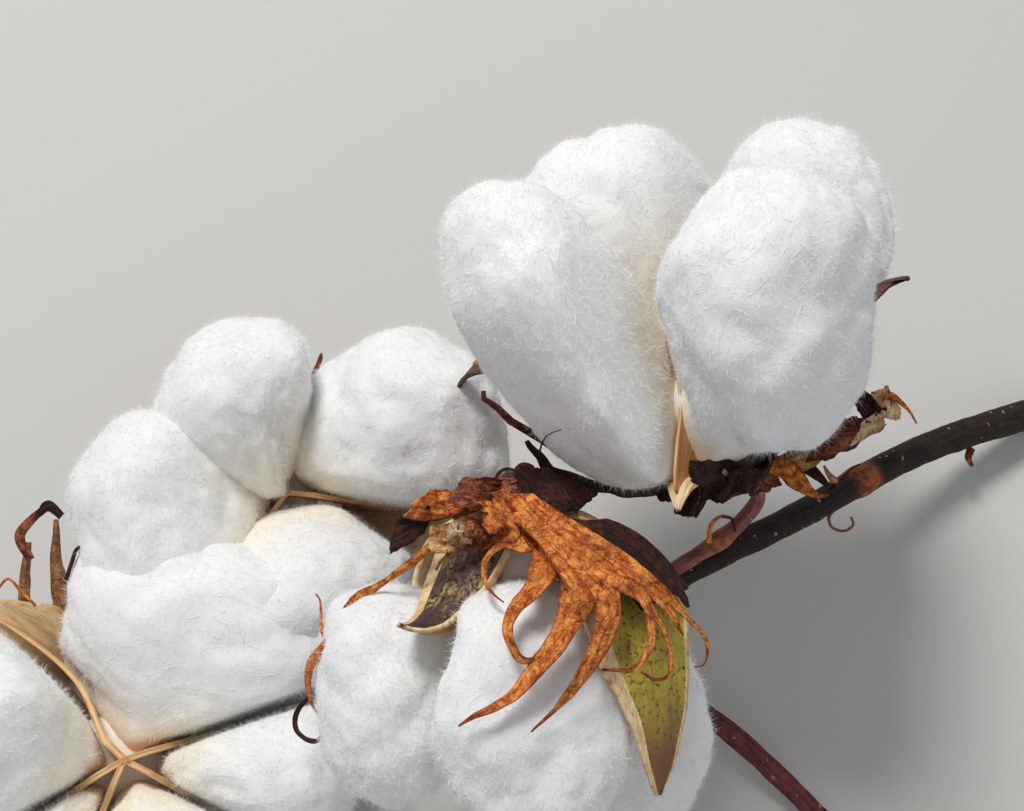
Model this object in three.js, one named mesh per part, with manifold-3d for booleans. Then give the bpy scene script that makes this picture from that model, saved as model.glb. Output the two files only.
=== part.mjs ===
// A branch cut from a cotton plant at harvest time, lying on a level surface. It carries four open
// bolls. Each boll has a dry bur with pointed valves and thin septa, a lock of white lint in every
// chamber, and three dry bracts with long teeth round its foot. Millimetres, +Z up.

import * as THREE from "three";
import { mergeVertices } from "three/addons/utils/BufferGeometryUtils.js";
import Module from "manifold-3d";

const wasm = await Module();
wasm.setup();

// How the branch lies. It is laid out in its own frame, x right, y up the branch and z towards its upper
// side, which is then tipped about X and moved so that it rests on Z = 0 with its box centred on the
// origin.
const TIP_DEG = 25;
const MIDDLE = [-3.01, 19.63, 74.08];

// Clearance between pieces that touch, and how finely each kind of piece is divided.
const CLEAR = 0.35;
const STEM_SIDES = 8;
const STEM_STEP = 9;
const CUP_SIDES = 8;
const LOCK_RINGS = 8;
const LOCK_SIDES = 12;
const VALVE_RINGS = 6;
const TOOTH_STEPS = 4;
const PATH_STEPS = 40;

// A stem swells at its nodes, over this share of its length.
const NODE_SHARE = 0.035;

// The bur: a woody cup on the stalk's end, with a valve and a septum for each wall between two chambers.
// A valve is cupped across by VALVE_CUP of its half width, and thins by VALVE_THINNING towards its tip.
// Its outline is an arch that starts at VALVE_ARCH_START, leans towards the foot by VALVE_LEAN and never
// goes under VALVE_END_WIDTH. A septum's height falls off towards the tip by the power SEPTUM_FALL.
const CUP_RADIUS = 8;
const CUP_HEIGHT = 5;
const CUP_MOUTH_RADIUS = 4.4;
const CUP_NECK_RADIUS = 4.2;
const CUP_FOOT_RADIUS = 2.6;
const CUP_FOOT_DEPTH = 6;
const VALVE_START = 5;
const VALVE_HALF_WIDTH = 9.5;
const VALVE_THICK = 1.2;
const VALVE_THINNING = 0.45;
const VALVE_CUP = 0.22;
const VALVE_END_WIDTH = 0.09;
const VALVE_ARCH_START = 0.06;
const VALVE_LEAN = 0.72;
const VALVE_FULLNESS = 0.9;
const KEEL_SHARE = 0.12;
const SEPTUM_HEIGHT = 25;
const SEPTUM_THICK = 1.0;
const SEPTUM_REACH = 0.86;
const SEPTUM_EDGE = 1.0;
const SEPTUM_FALL = 1.2;

// A bract: a sheet that wraps a share of the boll's foot and ends in long tapering teeth. A tooth bends
// most at its tip: its curl is spread from CURL_START to CURL_END times the mean. Teeth of one bract
// vary in length, curl and sweep by the last three values.
const BRACT_START = 3.2;
const BRACT_DROP = -2.5;
const BRACT_THICK = 0.9;
const BRACT_EDGE_DEG = 10;
const TOOTH_TIP_WIDTH = 0.9;
const TOOTH_ROOT = 0.92;
const TOOTH_SHARE = 0.86;
const TOOTH_TAPER = 0.8;
const ROOT_THICKNESS = 0.5;
const CURL_START = 0.4;
const CURL_END = 1.6;
const LENGTH_VARIES = 0.25;
const CURL_VARIES = 0.5;
const SWEEP_DEG = 18;

// A lock's lint: how round its ends are and how near its end rings are to its poles, how lumpy it is,
// and how softly it presses on the septa beside it. A lump wave has its rate along x, y and z, and the
// seed's share in it.
const LOCK_FULLNESS = 2.3;
const LOCK_POLE = 0.04;
const LUMP_SHARE = 0.075;
const LUMP_SIZE = 9;
const LUMP_WAVES = [[1.9, 0, 1.1, 1.3], [-0.9, 2.3, 0, 2.1], [0, 1.3, 2.1, 0.7]];
const PRESS = 1.6;

const COLOURS = {
  lint: { color: 0xf4f3ee, roughness: 0.95 },
  bur: { color: 0xb98b52, roughness: 0.7 },
  bract: { color: 0xa3562a, roughness: 0.8 },
  bark: { color: 0x3a2a22, roughness: 0.75 },
  stalk: { color: 0x7c3f35, roughness: 0.65 },
};

const radians = THREE.MathUtils.degToRad;
const point = (x, y, z) => new THREE.Vector3(x, y, z);

// Quadratic through three values, at 0, one half and 1.
function through([start, middle, end], t) {
  return start * (1 - t) * (1 - 2 * t) + middle * 4 * t * (1 - t) + end * t * (2 * t - 1);
}

// A closed body through rings of equal count, capped across each end ring.
function loft(rings) {
  const count = rings[0].length;
  const positions = rings.flat().flatMap((p) => [p.x, p.y, p.z]);
  const faces = [];
  for (let r = 0; r < rings.length - 1; r++) {
    for (let i = 0; i < count; i++) {
      const next = (i + 1) % count;
      const [a, b] = [r * count + i, r * count + next];
      faces.push(a, b, b + count, a, b + count, a + count);
    }
  }
  const last = (rings.length - 1) * count;
  for (let i = 0; i < count / 2 - 1; i++) {
    const [a, b, c, d] = [i, i + 1, count - 2 - i, count - 1 - i];
    faces.push(a, c, b, a, d, c);
    faces.push(last + a, last + b, last + c, last + a, last + c, last + d);
  }
  const geometry = new THREE.BufferGeometry();
  geometry.setAttribute("position", new THREE.Float32BufferAttribute(positions, 3));
  geometry.setIndex(faces);
  return geometry;
}

function solidOf(geometry) {
  const bare = geometry.clone();
  bare.deleteAttribute("normal");
  bare.deleteAttribute("uv");
  const merged = mergeVertices(bare, 1e-4);
  const solid = new wasm.Manifold(
    new wasm.Mesh({
      numProp: 3,
      vertProperties: new Float32Array(merged.attributes.position.array),
      triVerts: new Uint32Array(merged.index.array),
    }),
  );
  if (solid.volume() > 0) return solid;
  const flipped = Array.from(merged.index.array);
  for (let i = 0; i < flipped.length; i += 3) [flipped[i], flipped[i + 1]] = [flipped[i + 1], flipped[i]];
  return new wasm.Manifold(
    new wasm.Mesh({
      numProp: 3,
      vertProperties: new Float32Array(merged.attributes.position.array),
      triVerts: new Uint32Array(flipped),
    }),
  );
}

const joined = (solids) => solids.reduce((all, one) => all.add(one));

// The largest connected piece of a solid, without the scraps that a cut leaves.
function largest(solid) {
  return solid.decompose().reduce((best, one) => (one.volume() > best.volume() ? one : best));
}

function geometryOf(solid) {
  const { vertProperties, triVerts } = solid.getMesh();
  const geometry = new THREE.BufferGeometry();
  geometry.setAttribute("position", new THREE.Float32BufferAttribute(vertProperties, 3));
  geometry.setIndex(Array.from(triVerts));
  return geometry;
}

// A tapering limb through its points, with a swelling where each of its nodes is.
function limb({ points, radii, nodes = [], swell = 0 }, grow) {
  const curve = new THREE.CatmullRomCurve3(points.map((p) => point(...p)), false, "centripetal");
  const steps = Math.max(6, Math.round(curve.getLength() / STEM_STEP));
  const rings = [];
  let side = point(0, 0, 1);
  for (let s = 0; s <= steps; s++) {
    const t = s / steps;
    const along = curve.getTangentAt(t);
    const centre = curve.getPointAt(t).addScaledVector(along, grow * (2 * t - 1));
    side = side.addScaledVector(along, -side.dot(along)).normalize();
    const across = along.clone().cross(side);
    const bulge = nodes.reduce((sum, node) => sum + swell * Math.exp(-(((t - node) / NODE_SHARE) ** 2)), 0);
    const radius = radii[0] + (radii[1] - radii[0]) * t + bulge + grow;
    const ring = [];
    for (let i = 0; i < STEM_SIDES; i++) {
      const a = (2 * Math.PI * i) / STEM_SIDES;
      const p = centre.clone().addScaledVector(side, radius * Math.cos(a));
      ring.push(p.addScaledVector(across, radius * Math.sin(a)));
    }
    rings.push(ring);
  }
  return solidOf(loft(rings));
}

// The path of a valve or bract in its own upright plane: it starts at the boll's foot, and its heading
// from the boll's axis turns through three given angles.
function meridian(start, drop, length, headings, t) {
  let [rho, z] = [start, drop];
  const count = Math.max(1, Math.round(PATH_STEPS * t));
  for (let i = 0; i < count; i++) {
    const heading = radians(through(headings, ((i + 0.5) / count) * t));
    rho += ((length * t) / count) * Math.sin(heading);
    z += ((length * t) / count) * Math.cos(heading);
  }
  return { rho, z, heading: radians(through(headings, t)) };
}

const spoke = (azimuth) => point(Math.cos(radians(azimuth)), Math.sin(radians(azimuth)), 0);
const acrossSpoke = (azimuth) => point(-Math.sin(radians(azimuth)), Math.cos(radians(azimuth)), 0);

// One wall of the bur: a boat-shaped valve along its meridian, widest before the middle and pointed at
// the tip, with a septum standing on its midline that is tall at the boll's axis and dies out towards
// the tip.
function wall({ azimuth, length, headings, width = 1 }, grow) {
  const out = spoke(azimuth);
  const across = acrossSpoke(azimuth);
  const section = (rho, z, heading, t) => {
    const normal = out.clone().multiplyScalar(-Math.cos(heading)).setZ(Math.sin(heading));
    const half = VALVE_HALF_WIDTH * width * valveShape(t) + grow;
    const thick = (VALVE_THICK / 2) * (1 - VALVE_THINNING * t) + grow;
    const fin = SEPTUM_THICK / 2 + grow;
    const fall = Math.pow(1 - Math.min(t / SEPTUM_REACH, 1), SEPTUM_FALL);
    const rise = thick + SEPTUM_EDGE + SEPTUM_HEIGHT * fall;
    const stand = point(0, 0, 1).multiplyScalar(1 - t).addScaledVector(normal, t).normalize();
    const foot = out.clone().multiplyScalar(rho).setZ(z);
    const at = (v, lift, up = normal) => foot.clone().addScaledVector(across, v).addScaledVector(up, lift);
    const lip = VALVE_CUP * half;
    const side = (v) => [
      at(v * fin, rise, stand),
      at(v * fin, thick),
      at(v * half, lip + thick),
      at(v * half, lip - thick),
      at(v * half * KEEL_SHARE, -thick),
    ];
    return [...side(1), ...side(-1).reverse()];
  };
  const rings = [section(-SEPTUM_THICK / 2, 0, Math.PI / 2, 0)];
  for (let r = 0; r < VALVE_RINGS; r++) {
    const t = r / (VALVE_RINGS - 1);
    const { rho, z, heading } = meridian(VALVE_START, 0, length, headings, t);
    rings.push(section(rho, z, heading, t));
  }
  return solidOf(loft(rings));
}

// A valve's width along its length, as a share of its widest.
function valveShape(t) {
  const arch = Math.PI * Math.pow(VALVE_ARCH_START + (1 - VALVE_ARCH_START) * t, VALVE_LEAN);
  return VALVE_END_WIDTH + (1 - VALVE_END_WIDTH) * Math.pow(Math.sin(arch), VALVE_FULLNESS);
}

function cup(grow) {
  const profile = [
    [CUP_FOOT_RADIUS, -CUP_FOOT_DEPTH],
    [CUP_NECK_RADIUS, -CUP_FOOT_DEPTH / 2],
    [CUP_RADIUS, 0],
    [CUP_MOUTH_RADIUS, CUP_HEIGHT],
  ];
  const rings = profile.map(([radius, z], n) => {
    const end = n === 0 ? -grow : n === profile.length - 1 ? grow : 0;
    return Array.from({ length: CUP_SIDES }, (_, i) => {
      const a = (2 * Math.PI * i) / CUP_SIDES;
      return point((radius + grow) * Math.cos(a), (radius + grow) * Math.sin(a), z + end);
    });
  });
  return solidOf(loft(rings));
}

function bur({ valves }, grow) {
  return joined([cup(grow), ...valves.map((one) => wall(one, grow))]);
}

// Smooth lumps on the lint, the same for a given seed.
function lump(p, seed) {
  const waves = LUMP_WAVES.map(([x, y, z, share]) => {
    return Math.sin((x * p.x + y * p.y + z * p.z) / LUMP_SIZE + share * seed);
  });
  return waves.reduce((sum, wave) => sum + wave) / waves.length;
}

// Presses a point back inside the flat wall through the boll's axis at that azimuth.
function pressInside(p, azimuth, side, margin) {
  const normal = acrossSpoke(azimuth).multiplyScalar(side);
  const beyond = p.dot(normal) + margin;
  const kept = -PRESS * Math.log1p(Math.exp(Math.min(40, -beyond / PRESS)));
  return p.addScaledVector(normal, kept - beyond);
}

// One lock of lint: a full, lumpy pillow in its chamber, flattened by the septa on its two sides.
function lock({ from, to, azimuth, reach, rise, long, wide, deep, lean, seed }, grow) {
  const out = spoke(azimuth);
  const length = out.clone().multiplyScalar(Math.sin(radians(lean))).setZ(Math.cos(radians(lean)));
  const depth = out.clone().addScaledVector(length, -out.dot(length)).normalize();
  const width = length.clone().cross(depth);
  const centre = out.clone().multiplyScalar(reach).setZ(rise);
  const margin = SEPTUM_THICK / 2 + CLEAR - grow;
  const rings = [];
  for (let r = 0; r < LOCK_RINGS; r++) {
    const polar = Math.PI * (LOCK_POLE + ((1 - 2 * LOCK_POLE) * r) / (LOCK_RINGS - 1));
    const ring = [];
    for (let i = 0; i < LOCK_SIDES; i++) {
      const turn = (2 * Math.PI * i) / LOCK_SIDES;
      const q = [Math.sin(polar) * Math.cos(turn), Math.sin(polar) * Math.sin(turn), Math.cos(polar)];
      const full = Math.pow(
        q.reduce((sum, c) => sum + Math.pow(Math.abs(c), LOCK_FULLNESS), 0),
        -1 / LOCK_FULLNESS,
      );
      const offset = point(0, 0, 0)
        .addScaledVector(width, q[0] * full * (wide / 2 + grow))
        .addScaledVector(depth, q[1] * full * (deep / 2 + grow))
        .addScaledVector(length, q[2] * full * (long / 2 + grow));
      const swelling = 1 + LUMP_SHARE * lump(offset.clone().add(centre), seed);
      const p = centre.clone().addScaledVector(offset, swelling);
      pressInside(p, from, -1, margin);
      pressInside(p, to, 1, margin);
      ring.push(p);
    }
    rings.push(ring);
  }
  return solidOf(loft(rings));
}

// One bract: a sheet of revolution round part of the boll's foot, whose edge goes on as teeth that curl.
function bract({ azimuth, spread, body, headings, teeth }, grow) {
  const at = (angle, t) => {
    const { rho, z, heading } = meridian(BRACT_START, BRACT_DROP, body, headings, t);
    return { ...frameAt(angle, rho, z, heading), rho };
  };
  const columns = teeth.length;
  const sector = spread / columns;
  const sheet = Array.from({ length: columns + 1 }, (_, c) => {
    const angle = azimuth + (spread + grow * BRACT_EDGE_DEG) * (c / columns - 0.5);
    const face = (t, w) => {
      const { place, along, normal } = at(angle, t);
      place.addScaledVector(normal, w * (BRACT_THICK / 2 + grow));
      return place.addScaledVector(along, grow * (2 * t - 1));
    };
    return [face(0, 1), face(0.5, 1), face(1, 1), face(1, -1), face(0.5, -1), face(0, -1)];
  });
  const fingers = teeth.map(({ length, curl, sweep }, k) => {
    const frame = at(azimuth - spread / 2 + sector * (k + 0.5), TOOTH_ROOT);
    const half = frame.rho * Math.tan(radians(sector) / 2) * TOOTH_SHARE;
    const step = (length + body * (1 - TOOTH_ROOT) + grow) / TOOTH_STEPS;
    const rings = [stripRing(frame, half, grow, ROOT_THICKNESS)];
    for (let s = 1; s <= TOOTH_STEPS; s++) {
      const t = s / TOOTH_STEPS;
      turn(frame, "across", (-curl * (CURL_START + (CURL_END - CURL_START) * t)) / TOOTH_STEPS);
      turn(frame, "normal", sweep / TOOTH_STEPS);
      frame.place.addScaledVector(frame.along, step);
      rings.push(stripRing(frame, Math.max(half * Math.pow(1 - t, TOOTH_TAPER), TOOTH_TIP_WIDTH / 2), grow));
    }
    return solidOf(loft(rings));
  });
  return joined([solidOf(loft(sheet)), ...fingers]);
}

function frameAt(azimuth, rho, z, heading) {
  const out = spoke(azimuth);
  const along = out.clone().multiplyScalar(Math.sin(heading)).setZ(Math.cos(heading));
  const across = acrossSpoke(azimuth);
  const normal = along.clone().cross(across);
  return { place: out.clone().multiplyScalar(rho).setZ(z), along, across, normal };
}

function turn(frame, axisName, degrees) {
  const axis = frame[axisName].clone();
  for (const name of ["along", "across", "normal"]) frame[name].applyAxisAngle(axis, radians(degrees));
}

function stripRing({ place, across, normal }, half, grow, thickness = 1) {
  const thick = (BRACT_THICK / 2 + grow) * thickness;
  const corner = (v, w) => {
    const side = place.clone().addScaledVector(across, v * (half + grow));
    return side.addScaledVector(normal, w * thick);
  };
  return [corner(-1, -1), corner(1, -1), corner(1, 1), corner(-1, 1)];
}

// Teeth whose lengths and curls vary by a fixed rule.
function plainTeeth(count, length, curl, seed) {
  return Array.from({ length: count }, (_, k) => ({
    length: length * (1 + LENGTH_VARIES * Math.sin(2.3 * k + seed)),
    curl: curl * (1 + CURL_VARIES * Math.sin(3.1 * k + 1.7 * seed)),
    sweep: SWEEP_DEG * Math.sin(1.9 * k + 0.6 * seed),
  }));
}

// The stems. Each is one tapering limb, from its cut or lower end to the foot of its boll.
const FORK = [14, -46, -36];
const STEMS = {
  main_stem: {
    points: [[121, 0.5, -78.6], [85, -9, -60], [54, -22, -40], [31, -32.5, -33], FORK],
    radii: [3.3, 2.4],
    nodes: [0.44],
    swell: 0.45,
    material: "bark",
  },
  lower_stem: {
    points: [[67, -87, -39.2], [43, -64, -41], [26, -52, -39], [16, -44, -39]],
    radii: [1.9, 2.1],
    material: "stalk",
  },
  upper_stalk: {
    points: [[18, -41, -34], [29, -29.5, -28], [38, -21, -22], [43, -15.5, -18], [39.5, -12.4, -13]],
    radii: [1.9, 2.0],
    nodes: [0.6],
    swell: 0.5,
    material: "stalk",
  },
  front_stalk: {
    points: [[12.5, -42.5, -34], [8, -30, -26], [4, -18, -14], [2, -11.5, 0.5]],
    radii: [2.1, 2.2],
    material: "stalk",
  },
  left_stalk: {
    points: [[10, -47.5, -38.5], [-8, -50, -50], [-27, -40, -60.5], [-46.5, -21.5, -67]],
    radii: [2.2, 2.2],
    material: "stalk",
  },
  corner_stalk: {
    points: [[-9, -53.5, -49], [-26, -63, -48], [-48, -70, -46], [-75, -71.5, -45.5]],
    radii: [2.0, 2.2],
    material: "stalk",
  },
};

// How a bract heads away from its boll's axis, at its foot, its middle and its edge.
const FOLDED_BACK = [112, 96, 76];
const TUCKED_UNDER = [130, 120, 110];
const UPRIGHT = [104, 88, 66];

// The bolls. A boll stands at its base along its axis, and its azimuths turn about that axis from the
// branch's own right-hand side.
const BOLLS = {
  upper: {
    base: [37.4, -9.1, -10],
    axis: [-0.36, 0.86, 0.36],
    valves: [
      { azimuth: -107, length: 31, headings: [80, 62, 158], width: 0.62 },
      { azimuth: 0, length: 45, headings: [90, 50, 100] },
      { azimuth: 62, length: 36, headings: [85, 40, 70] },
      { azimuth: 162, length: 42, headings: [88, 52, 84] },
    ],
    locks: {
      left_front: { azimuth: 213, reach: 18, rise: 34, long: 58, wide: 40, deep: 29, lean: 13, seed: 1 },
      right_front: { azimuth: -44, reach: 20, rise: 27.5, long: 49, wide: 42, deep: 31, lean: 14, seed: 2 },
      right_back: { azimuth: 30, reach: 27, rise: 29, long: 42, wide: 38, deep: 30, lean: 30, seed: 3 },
      left_back: { azimuth: 104, reach: 19, rise: 35, long: 46, wide: 46, deep: 30, lean: 6, seed: 4 },
    },
    bracts: {
      right: { azimuth: -10, spread: 66, body: 18, headings: [112, 95, 70], teeth: plainTeeth(5, 18, 60, 1) },
      front: { azimuth: 255, spread: 84, body: 13, headings: TUCKED_UNDER, teeth: plainTeeth(5, 13, 70, 2) },
      left: { azimuth: 150, spread: 84, body: 17, headings: [112, 96, 80], teeth: plainTeeth(5, 18, 60, 3) },
    },
  },
  front: {
    base: [1.7, -17.1, 0],
    axis: [0.02, -1, -0.1],
    valves: [
      { azimuth: 134, length: 33, headings: [85, 36, 112] },
      { azimuth: 40, length: 56, headings: [96, 28, -8] },
      { azimuth: -58, length: 44, headings: [85, 8, 24] },
      { azimuth: -142, length: 44, headings: [85, 8, 24] },
    ],
    locks: {
      left: { azimuth: 172, reach: 20, rise: 30, long: 37, wide: 30, deep: 24, lean: 6, seed: 5 },
      centre: { azimuth: 84, reach: 16, rise: 30, long: 44, wide: 38, deep: 26, lean: 4, seed: 6 },
      right: { azimuth: -12, reach: 18, rise: 36, long: 42, wide: 34, deep: 26, lean: 6, seed: 7 },
      back: { azimuth: -98, reach: 15, rise: 38, long: 44, wide: 36, deep: 26, lean: 4, seed: 8 },
    },
    bracts: {
      fan: {
        azimuth: 48,
        spread: 114,
        body: 26,
        headings: [104, 74, 22],
        teeth: [
          { length: 10, curl: -50, sweep: 30 },
          { length: 12, curl: -50, sweep: 40 },
          { length: 15, curl: -40, sweep: 40 },
          { length: 22, curl: 18, sweep: 34 },
          { length: 27, curl: 24, sweep: 44 },
          { length: 18, curl: 10, sweep: 20 },
          { length: 12, curl: -20, sweep: -10 },
        ],
      },
      dark: { azimuth: -40, spread: 52, body: 24, headings: [100, 50, 20], teeth: plainTeeth(4, 14, -20, 5) },
      left: { azimuth: 184, spread: 60, body: 27, headings: [102, 72, 26], teeth: plainTeeth(3, 24, 24, 6) },
    },
  },
  left: {
    base: [-46, -20.5, -61.5],
    axis: [0.12, 0.15, 0.98],
    valves: [
      { azimuth: -5, length: 42, headings: [85, 55, 80] },
      { azimuth: 97, length: 34, headings: [85, 60, 85] },
      { azimuth: 155, length: 27, headings: [85, 60, 85] },
      { azimuth: 235, length: 36, headings: [85, 60, 85] },
    ],
    locks: {
      right: { azimuth: 30, reach: 23, rise: 26, long: 50, wide: 40, deep: 34, lean: 48, seed: 9 },
      top: { azimuth: 118, reach: 18, rise: 25, long: 46, wide: 42, deep: 34, lean: 34, seed: 10 },
      side: { azimuth: 188, reach: 20, rise: 25, long: 47, wide: 46, deep: 32, lean: 38, seed: 11 },
      bottom: { azimuth: 293, reach: 19, rise: 25, long: 46, wide: 46, deep: 34, lean: 36, seed: 12 },
    },
    bracts: {
      right: { azimuth: 0, spread: 88, body: 15, headings: FOLDED_BACK, teeth: plainTeeth(5, 16, 40, 7) },
      top: { azimuth: 120, spread: 88, body: 15, headings: FOLDED_BACK, teeth: plainTeeth(5, 16, 40, 8) },
      side: { azimuth: 240, spread: 88, body: 15, headings: FOLDED_BACK, teeth: plainTeeth(5, 16, 40, 9) },
    },
  },
  corner: {
    base: [-74.3, -70, -39.5],
    axis: [0.22, 0.28, 0.93],
    valves: [
      { azimuth: 20, length: 38, headings: [85, 55, 80] },
      { azimuth: 132, length: 42, headings: [85, 50, 84] },
      { azimuth: 212, length: 38, headings: [85, 55, 80] },
      { azimuth: 250, length: 38, headings: [85, 55, 80] },
      { azimuth: 334, length: 38, headings: [85, 55, 80] },
    ],
    locks: {
      top: { azimuth: 46, reach: 25, rise: 23, long: 53, wide: 50, deep: 32, lean: 56, seed: 13 },
      side: { azimuth: 172, reach: 22, rise: 24, long: 46, wide: 42, deep: 32, lean: 42, seed: 14 },
      nook: { azimuth: 231, reach: 22, rise: 20, long: 42, wide: 30, deep: 28, lean: 46, seed: 15 },
      bottom: { azimuth: 292, reach: 22, rise: 22, long: 46, wide: 42, deep: 32, lean: 44, seed: 16 },
      right: { azimuth: 357, reach: 23, rise: 22, long: 46, wide: 34, deep: 30, lean: 48, seed: 17 },
    },
    bracts: {
      side: { azimuth: 128, spread: 44, body: 26, headings: UPRIGHT, teeth: plainTeeth(3, 24, -20, 10) },
      right: { azimuth: 26, spread: 88, body: 15, headings: FOLDED_BACK, teeth: plainTeeth(5, 16, 40, 11) },
      bottom: { azimuth: 266, spread: 88, body: 15, headings: FOLDED_BACK, teeth: plainTeeth(5, 16, 40, 12) },
    },
  },
};

// A boll's own frame in the branch's frame.
function bollMatrix({ base, axis }) {
  const up = point(...axis).normalize();
  const right = point(1, 0, 0).addScaledVector(up, -up.x).normalize();
  const back = up.clone().cross(right);
  return new THREE.Matrix4().makeBasis(right, back, up).setPosition(point(...base));
}

// Gives each lock the septa on its two sides.
function withWalls(boll) {
  const walls = boll.valves.map(({ azimuth }) => azimuth);
  return Object.entries(boll.locks).map(([name, one]) => {
    const behind = walls.map((w) => one.azimuth - ((((one.azimuth - w) % 360) + 360) % 360));
    const ahead = walls.map((w) => one.azimuth + ((((w - one.azimuth) % 360) + 360) % 360));
    return [name, { ...one, from: Math.max(...behind), to: Math.min(...ahead) }];
  });
}

// Every piece as its form at a given growth, the firm ones first. Each piece is later cut clear of those
// before it.
const pieces = [];
for (const [name, stem] of Object.entries(STEMS)) {
  pieces.push({ name, material: stem.material, form: (grow) => limb(stem, grow), home: new THREE.Matrix4() });
}
for (const [kind, make] of [["bur", bur], ["bract", bract], ["lock", lock]]) {
  for (const [where, boll] of Object.entries(BOLLS)) {
    const home = bollMatrix(boll);
    const listed = { bur: [["", boll]], bract: Object.entries(boll.bracts), lock: withWalls(boll) }[kind];
    for (const [name, one] of listed) {
      pieces.push({
        name: [where, kind, name].filter(Boolean).join("_"),
        material: { bur: "bur", bract: "bract", lock: "lint" }[kind],
        form: (grow) => make(one, grow).transform(home.toArray()),
        home,
      });
    }
  }
}

function boxesMeet(a, b) {
  const [p, q] = [a.boundingBox(), b.boundingBox()];
  return [0, 1, 2].every((i) => p.min[i] < q.max[i] && q.min[i] < p.max[i]);
}

const branch = new THREE.Group();
branch.name = "cotton_branch";
branch.rotation.x = radians(TIP_DEG);
branch.position.set(...MIDDLE);
const placed = [];
for (const { name, material, form, home } of pieces) {
  let solid = form(0);
  for (const other of placed) {
    if (boxesMeet(solid, other.grown)) solid = solid.subtract(other.grown);
  }
  solid = largest(solid);
  placed.push({ grown: form(CLEAR) });
  const geometry = geometryOf(solid).applyMatrix4(home.clone().invert());
  const surface = new THREE.MeshStandardMaterial({ metalness: 0, ...COLOURS[material] });
  const mesh = new THREE.Mesh(geometry, surface);
  mesh.name = name;
  mesh.applyMatrix4(home);
  branch.add(mesh);
}

export default branch;
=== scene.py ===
"""A dry cotton branch, cut at harvest and lying down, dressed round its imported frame."""
import math

import bpy
import numpy as np
from mathutils import Matrix, Vector
from mathutils.bvhtree import BVHTree


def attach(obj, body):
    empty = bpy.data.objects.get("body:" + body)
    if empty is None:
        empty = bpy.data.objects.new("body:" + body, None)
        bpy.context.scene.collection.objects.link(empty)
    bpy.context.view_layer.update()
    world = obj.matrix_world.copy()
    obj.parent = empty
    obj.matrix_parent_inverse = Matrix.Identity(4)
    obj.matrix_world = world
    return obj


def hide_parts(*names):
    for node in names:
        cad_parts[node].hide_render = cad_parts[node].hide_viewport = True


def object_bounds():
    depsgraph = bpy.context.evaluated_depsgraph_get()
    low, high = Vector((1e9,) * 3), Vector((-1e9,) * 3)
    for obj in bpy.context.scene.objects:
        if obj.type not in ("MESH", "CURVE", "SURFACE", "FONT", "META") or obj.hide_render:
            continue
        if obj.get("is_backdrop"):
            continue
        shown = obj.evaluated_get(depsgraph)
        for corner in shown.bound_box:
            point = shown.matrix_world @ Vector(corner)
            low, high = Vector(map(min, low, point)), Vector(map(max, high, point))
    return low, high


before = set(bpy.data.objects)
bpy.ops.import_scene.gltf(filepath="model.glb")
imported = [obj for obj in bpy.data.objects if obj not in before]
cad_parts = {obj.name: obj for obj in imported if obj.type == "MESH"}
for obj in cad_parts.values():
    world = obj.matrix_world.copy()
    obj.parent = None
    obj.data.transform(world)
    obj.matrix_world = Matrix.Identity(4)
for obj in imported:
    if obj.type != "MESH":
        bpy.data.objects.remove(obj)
cad_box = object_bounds()

# How the branch lies. It is laid out in millimetres in its own frame, x right, y up the branch and z towards
# its upper side, then tipped about X and moved so that it rests on the floor.
MM = 0.001
TIP = math.radians(25)
MIDDLE = np.array([-3.01, 19.63, 74.08])
TURN = np.array(Matrix.Rotation(TIP, 3, "X"))
UP = np.array([0.0, 0.0, 1.0])

# The photograph's camera looks along the branch frame's -z from this height, over its origin.
EYE = 250.0
FOCAL_PIXELS = 1500.0
IMAGE_WIDTH, IMAGE_HEIGHT = 1024, 811
SENSOR_MM = 36.0

# The bur, the septa on its valves, and the bracts round its foot, as in the solids.
PATH_STEPS = 40
VALVE_START = 5.0
VALVE_HALF_WIDTH = 9.5
VALVE_CUP = 0.22
VALVE_ARCH_START = 0.06
VALVE_LEAN = 0.72
VALVE_FULLNESS = 0.9
SEPTUM_HEIGHT = 25.0
SEPTUM_THICK = 1.0
SEPTUM_REACH = 0.86
SEPTUM_FALL = 1.2
BRACT_SPREAD = 88
BRACT_BODY = 15
BRACT_START = 3.2
BRACT_DROP = -2.5
BRACT_HEADINGS = (112, 96, 76)
TEETH = 5
TOOTH_LENGTH, TOOTH_CURL = 16, 40
TOOTH_ROOT = 0.92
CURL_START = 0.4
CURL_END = 1.6
LENGTH_VARIES = 0.25
CURL_VARIES = 0.5
SWEEP_DEG = 18.0

# The scene's own: how wide a valve is at its tip and where its rims start, as shares, how thick it is at its
# foot, how much it thins and its rims thicken, and how far they turn down; how wide and high the waves of a
# valve, of its rims and of a septum are; how high a septum is at its end, and by what share its lips narrow.
VALVE_END_WIDTH = 0.035
VALVE_RIM = 0.87
VALVE_THICK, VALVE_THINS, RIM_THICKER = 1.0, 0.4, 0.4
RIM_TURNS = 0.10
VALVE_WAVE, VALVE_WAVE_HIGH = 7.0, 0.5
RIM_WAVE, RIM_WAVE_HIGH = 2.4, 0.16
SEPTUM_LOWEST = 1.6
SEPTUM_WAVE, SEPTUM_WAVE_HIGH = 3.0, 0.35
LIPS_NARROW = 0.45

# A lock's lint, as in the solids apart from its fullness.
CLEAR = 0.35
LOCK_FULLNESS = 2.2
LUMP_SHARE = 0.075
LUMP_SIZE = 9.0
LUMP_WAVES = np.array([[1.9, 0, 1.1, 1.3], [-0.9, 2.3, 0, 2.1], [0, 1.3, 2.1, 0.7]])

# How softly a lock is pressed on a septum, and above it on the next lock, over how far that changes, and
# between which distances from the boll's axis a seam leaves the septum's plane.
PRESS = 2.0
PRESS_ABOVE = 5.0
PRESS_EASE = 8.0
SEAM_LEAVES, SEAM_LEFT = 8.0, 24.0

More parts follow.
